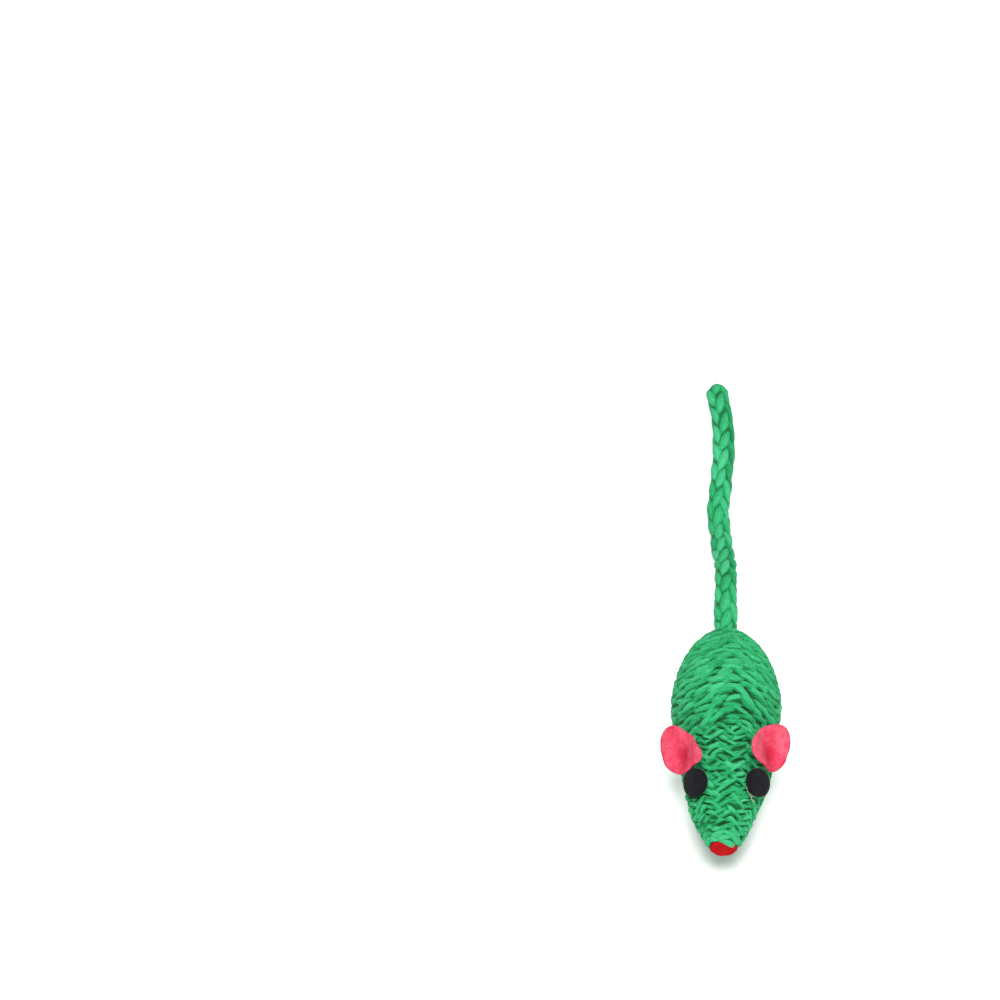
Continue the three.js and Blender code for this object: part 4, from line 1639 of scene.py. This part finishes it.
@dataclass
class GlueBlob:
    """A dab of hot glue between a felt piece and the yarn."""

    name: str
    body: BodyFrame
    seat: Seat
    radius: float
    height: float
    sink: float
    spread: float = 0.12
    seed: float = 0.0
    waves: int = 3
    fine_waves: int = 5
    fine_spread: float = 0.6
    fullness: float = 0.7
    lie: tuple = (0.3, 1.0, 0.2)
    strings: list = field(default_factory=list)
    string_radius: float = 0.085
    string_ends: float = 0.35
    string_taper: float = 0.15
    string_sides: int = 8
    rings: int = 10
    segments: int = 28

    def build(self, material: bpy.types.Material) -> bpy.types.Object:
        """Makes the dab.

        Args:
            material: the finish it takes.

        Returns:
            The dab.
        """
        face = self.seat.face
        across = unit(np.cross(face, np.array(self.lie)))
        other = np.cross(face, across)
        turn = np.linspace(0, 2 * math.pi, self.segments, endpoint=False)
        uneven = 1 + self.spread * np.sin(self.waves * turn + self.seed)
        uneven = uneven + self.fine_spread * self.spread * np.sin(self.fine_waves * turn + 2 * self.seed)
        rows, faces = [], []
        for i in range(1, self.rings):
            polar = math.pi * i / self.rings
            radius = self.radius * math.sin(polar) ** self.fullness * uneven
            rise = self.height / 2 * (1 + math.cos(polar)) - self.sink
            rows.append(np.stack([radius * np.cos(turn), radius * np.sin(turn), np.full_like(turn, rise)], 1))
        local = np.concatenate([*rows, [[0, 0, self.height - self.sink], [0, 0, -self.sink]]])
        top, foot = len(local) - 2, len(local) - 1
        for k in range(self.segments):
            nxt = (k + 1) % self.segments
            faces.append((top, k, nxt))
            for i in range(self.rings - 2):
                a = i * self.segments
                faces.append((a + k, a + self.segments + k, a + self.segments + nxt, a + nxt))
            a = (self.rings - 2) * self.segments
            faces.append((a + nxt, a + k, foot))
        basis = np.stack([across, other, face])
        builder = MeshBuilder(self.name)
        builder.add(self.body.place(self.seat.place + local @ basis), faces)
        for line in self.strings:
            self._add_string(builder, line)
        return builder.finish(material)

    def _add_string(self, builder: MeshBuilder, line: np.ndarray) -> None:
        """Makes a thin string of glue along a line in the body's own terms.

        Args:
            builder: takes the string.
            line: its middle line.
        """
        turn = np.linspace(0, 2 * math.pi, self.string_sides, endpoint=False)
        run = unit(np.gradient(line, axis=0))
        up = unit(self.seat.face - run * (run @ self.seat.face)[:, None])
        beside = np.cross(run, up)
        share = np.sin(np.linspace(self.string_taper, math.pi - self.string_taper, len(line))) ** 0.5
        fat = self.string_radius * (self.string_ends + (1 - self.string_ends) * share)
        around = up[:, None] * np.cos(turn)[None, :, None] + beside[:, None] * np.sin(turn)[None, :, None]
        points = line[:, None] + around * fat[:, None, None]
        builder.add(self.body.place(points.reshape(-1, 3)), tube_faces(len(line), self.string_sides))


# Sub-assemblies


def dress(obj: bpy.types.Object, slot: str, *nodes: str) -> None:
    """Puts a piece on the mouse in place of CAD nodes and reports it.

    Args:
        obj: the piece.
        slot: the record's material slot for the piece; not used.
        *nodes: the CAD nodes it stands for.
    """
    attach(obj, BODY)
    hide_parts(*nodes)
    log.info("%s stands for %s", obj.name, ", ".join(nodes))


@dataclass
class RopeBody:
    """The cord wound round the rattle, and its free end, the tail."""

    route: CordRoute
    yarn: bpy.types.Material
    path_every: int = 5

    def build(self) -> None:
        winding, tail = MeshBuilder("knit_winding"), MeshBuilder("knit_tail")
        WoundKnit(self.route).build(winding)
        NoseEdge(self.route).build(winding)
        FreeKnit(self.route).build(winding, tail)
        dress(winding.finish(self.yarn), "yarn_green", "body_winding")
        free = tail.finish(self.yarn)
        dress(free, "yarn_green", "tail")


@dataclass
class Face:
    """The ears, eyes and nose, each with its dab of glue."""

    profile: EggProfile
    body: BodyFrame
    pink: bpy.types.Material
    black: bpy.types.Material
    red: bpy.types.Material
    glue: bpy.types.Material
    eye_diameter: float = 7.0
    eye_stretch: float = 1.07
    eye_bend: float = 0.25
    eye_from_snout: float = 15.3
    eye_angle: float = math.radians(43)
    eye_shift: float = math.radians(1)
    nose_diameter: float = 6.6
    nose_bend: float = 0.1
    snout_lean: float = CordRoute.snout_lean

    # The radius, height and depth below the surface of each dab of glue
    EAR_DAB = (1.5, 2.0, 0.7)
    EYE_DAB = (2.3, 1.5, 0.45)
    NOSE_DAB = (1.7, 2.2, 1.9)

    # How far each ear's middle is set out from its seat, and how far it is turned
    EAR_SEATS = {Side.LEFT: (1.8, math.radians(-7)), Side.RIGHT: (1.25, math.radians(12))}

    # The corner, bulges and hollows of each ear's cut edge. Each one: its place in degrees from the outer
    # side, counted backward, how far it stands out of the round disc, and its half width in degrees
    EAR_EDGES = {
        Side.LEFT: ((180, 3.2, 19), (115, -1.2, 26), (50, 0.2, 40), (280, 0.3, 30), (335, -0.3, 30)),
        Side.RIGHT: ((179, 3.15, 25), (248, -1.35, 32), (68, 0.5, 38), (138, 0.4, 28), (350, -0.72, 34)),
    }

    # Points of each string of glue: distance from the snout, degrees from the top, height
    GLUE_STRINGS = (
        ((16.0, 31, 0.1), (14.8, 29.5, 0.2), (13.6, 31, 0.2), (12.6, 35, 0.25),
         (12.1, 41, 0.2), (12.2, 48, 0.15), (13.0, 54, 0.1)),
        ((13.4, 40, 0.1), (12.0, 41, 0.25), (11.3, 46, 0.2), (11.2, 52, 0.1)),
    )

    def build(self) -> None:
        """Makes every piece of the face."""
        for side in Side:
            self._build_ear(side)
            self._build_eye(side)
        self._build_nose()

    def _build_ear(self, side: Side) -> None:
        """Makes one ear and its glue.

        Args:
            side: the side it is on.
        """
        ear = Ear(self.profile, self.body, side, *self.EAR_SEATS[side], edge=self.EAR_EDGES[side])
        dress(ear.build(self.pink), "felt_pink", f"ear_{side.word}")
        seat, face = ear.seat()
        root = Seat.on_body(self.profile, ear.from_snout, ear.angle, 0, side)
        under = Seat(root.place, unit(root.face + face))
        dab = GlueBlob(f"glue_dab_ear_{side.word}", self.body, under, *self.EAR_DAB, seed=side.value)
        dress(dab.build(self.glue), "hot_glue", f"glue_ear_{side.word}")

    def _build_eye(self, side: Side) -> None:
        """Makes one eye and its glue, with strings on the right side.

        Args:
            side: the side it is on.
        """
        lift = 2 * CLEARANCE + GLUE_THICKNESS
        angle = self.eye_angle + self.eye_shift
        seat = Seat.on_body(self.profile, self.eye_from_snout, angle, lift, side)
        eye = FeltDisc(f"felt_eye_{side.word}", self.body, seat, self.eye_diameter,
                       stretch=self.eye_stretch, bend=self.eye_bend)
        dress(eye.build(self.black), "felt_black", f"eye_{side.word}")
        under = Seat.on_body(self.profile, self.eye_from_snout, self.eye_angle, 0, side)
        dab = GlueBlob(f"glue_dab_eye_{side.word}", self.body, under, *self.EYE_DAB, spread=0.1, seed=1.0)
        if side is Side.RIGHT:
            dab.strings = [self._string(string, side) for string in self.GLUE_STRINGS]
        dress(dab.build(self.glue), "hot_glue", f"glue_eye_{side.word}")

    def _build_nose(self) -> None:
        """Makes the nose and its glue, where the CAD nose is."""
        low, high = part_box("nose")
        back = high.y / METRES + self.body.middle
        rise = (low.z + high.z) / 2 / METRES - self.body.axis_height
        seat = Seat(np.array([-self.snout_lean, back, rise]), np.array([0.0, -1.0, 0.0]))
        nose = FeltDisc("felt_nose", self.body, seat, self.nose_diameter, bend=self.nose_bend)
        dress(nose.build(self.red), "felt_red", "nose")
        plug = GlueBlob("glue_dab_nose", self.body, seat, *self.NOSE_DAB)
        dress(plug.build(self.glue), "hot_glue", "glue_nose")

    def _string(self, points: tuple, side: Side) -> np.ndarray:
        """The line of one string of glue, in the body's own terms.

        Args:
            points: the points it passes near.
            side: the side of the mouse it is on.

        Returns:
            The line's points.
        """
        points_each, smoothings = 10, 6
        knots = np.array(points, float)
        u = np.linspace(0, len(knots) - 1, points_each * len(knots))
        rows = np.stack([np.interp(u, np.arange(len(knots)), knots[:, k]) for k in range(3)], 1)
        for _ in range(smoothings):
            rows[1:-1] = (rows[:-2] + 2 * rows[1:-1] + rows[2:]) / 4
        seats = [Seat.on_body(self.profile, s, math.radians(angle), lift, side) for s, angle, lift in rows]
        return np.array([seat.place for seat in seats])


@dataclass
class Rattle:
    """The two cups and the beads, which keep their CAD shapes."""

    shell: bpy.types.Material
    beads: bpy.types.Material

    def build(self) -> None:
        """Gives each hidden piece its finish."""
        for name, obj in frame["nodes"].items():
            if name.startswith("shell_"):
                self._paint(obj, self.shell)
            elif name.startswith("rattle_bead"):
                self._paint(obj, self.beads)

    def _paint(self, obj: bpy.types.Object, material: bpy.types.Material) -> None:
        """Puts one finish on a CAD piece.

        Args:
            obj: the piece.
            material: the finish.
        """
        obj.data.materials.clear()
        obj.data.materials.append(material)
        log.info("%s keeps its CAD shape", obj.name)


@dataclass
class Studio:
    """The table, the lights and the camera."""

    distance: float = 8.0
    elevation: float = math.radians(60)
    seen_width: float = 0.241
    sensor_width: float = 36.0
    seen_depth: tuple = (1.0, 20)
    target: tuple = (-0.0542, 0.07042, 0.0)
    room_light: float = 0.27
    lit_place: tuple = (0, 0, 0.01)
    table_half: float = 3000.0
    table_depth: float = 20.0

    # Each lamp: name, place, width and power
    LAMPS = (
        ("key", (0.02, -0.16, 0.95), 0.45, 10.0),
        ("fill", (-0.6, -0.35, 0.6), 0.8, 0.4),
        ("front", (0.2, -0.75, 0.5), 0.7, 2.1),
    )

    def build_camera(self) -> None:
        """Sets the camera at the photograph's angle."""
        data = bpy.data.cameras.new("camera")
        data.sensor_width = self.sensor_width
        data.lens = self.sensor_width * self.distance / self.seen_width
        data.clip_start, data.clip_end = self.seen_depth
        camera = bpy.data.objects.new("camera", data)
        bpy.context.scene.collection.objects.link(camera)
        away = Vector((0, -math.cos(self.elevation), math.sin(self.elevation)))
        camera.location = Vector(self.target) + away * self.distance
        camera.rotation_euler = (-away).to_track_quat("-Z", "Y").to_euler()
        bpy.context.scene.camera = camera

    def build(self, floor_finish: bpy.types.Material) -> None:
        """Lays the table and hangs the lights.

        Args:
            floor_finish: the table's finish.
        """
        floor = MeshBuilder("table_top")
        sides = [(x * self.table_half, y * self.table_half) for x, y in ((-1, -1), (1, -1), (1, 1), (-1, 1))]
        corners = [(x, y, z) for z in (-self.table_depth, 0) for x, y in sides]
        faces = [(4, 5, 6, 7), (3, 2, 1, 0), (0, 1, 5, 4), (1, 2, 6, 5), (2, 3, 7, 6), (3, 0, 4, 7)]
        floor.add(np.array(corners, float), faces)
        floor.finish(floor_finish)
        for name, place, width, power in self.LAMPS:
            self._lamp(name, place, width, power)
        world = bpy.data.worlds.new("room")
        world.use_nodes = True
        nodes = Nodes(world.node_tree)
        strength = nodes.ramp(nodes.background_seen(), 0.0, 1.0, self.room_light, 1.0)
        nodes.feed(world.node_tree.nodes["Background"], {"Color": (1, 1, 1, 1), "Strength": strength})
        bpy.context.scene.world = world
        bpy.context.scene.view_settings.view_transform = "Standard"

    def _lamp(self, name: str, place: tuple, width: float, power: float) -> None:
        """Hangs one square lamp that faces the mouse.

        Args:
            name: its name.
            place: where it hangs, in metres.
            width: its width.
            power: its power in watts.
        """
        data = bpy.data.lights.new(name, "AREA")
        data.size, data.energy = width, power
        lamp = bpy.data.objects.new(name, data)
        bpy.context.scene.collection.objects.link(lamp)
        lamp.location = place
        lamp.rotation_euler = (Vector(self.lit_place) - lamp.location).to_track_quat("-Z", "Y").to_euler()


def write_sizes() -> None:
    """Updates the view layer."""
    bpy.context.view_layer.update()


def main() -> None:
    """Builds the scene in order."""
    logging.basicConfig(level=logging.INFO, format="%(name)s: %(message)s")
    studio = Studio()
    studio.build_camera()
    profile = EggProfile()
    body = BodyFrame.from_shell(profile, CordRoute.cord_thickness)
    RopeBody(CordRoute(profile, body), YarnFinish().build()).build()
    pink = FeltFinish(
        "pink_felt", nap=0.03,
        deep=(0.50, 0.006, 0.03, 1), main=(0.85, 0.07, 0.14, 1), pale=(0.93, 0.165, 0.255, 1),
    )
    black = FeltFinish(
        "black_felt", nap=0.06,
        deep=(0.003, 0.003, 0.004, 1), main=(0.008, 0.008, 0.010, 1), pale=(0.015, 0.014, 0.017, 1),
    )
    red = FeltFinish(
        "red_felt", nap=0.0,
        deep=(0.29, 0.001, 0.003, 1), main=(0.52, 0.003, 0.007, 1), pale=(0.64, 0.008, 0.014, 1),
    )
    glue = PlasticFinish(
        "clear_glue", roughness=0.25, transmission=0.5,
        colour=(0.86, 0.88, 0.76, 1), streak=(0.78, 0.82, 0.68, 1),
    )
    Face(profile, body, pink.build(), black.build(), red.build(), glue.build()).build()
    shell = PlasticFinish(
        "shell_plastic", roughness=0.5,
        colour=(0.02, 0.024, 0.022, 1), streak=(0.03, 0.034, 0.032, 1),
    )
    beads = PlasticFinish(
        "bead_plastic", roughness=0.4,
        colour=(0.5, 0.51, 0.53, 1), streak=(0.42, 0.43, 0.45, 1),
    )
    Rattle(shell.build(), beads.build()).build()
    studio.build(FloorFinish().build())
    write_sizes()


if __name__ == "__main__":
    main()
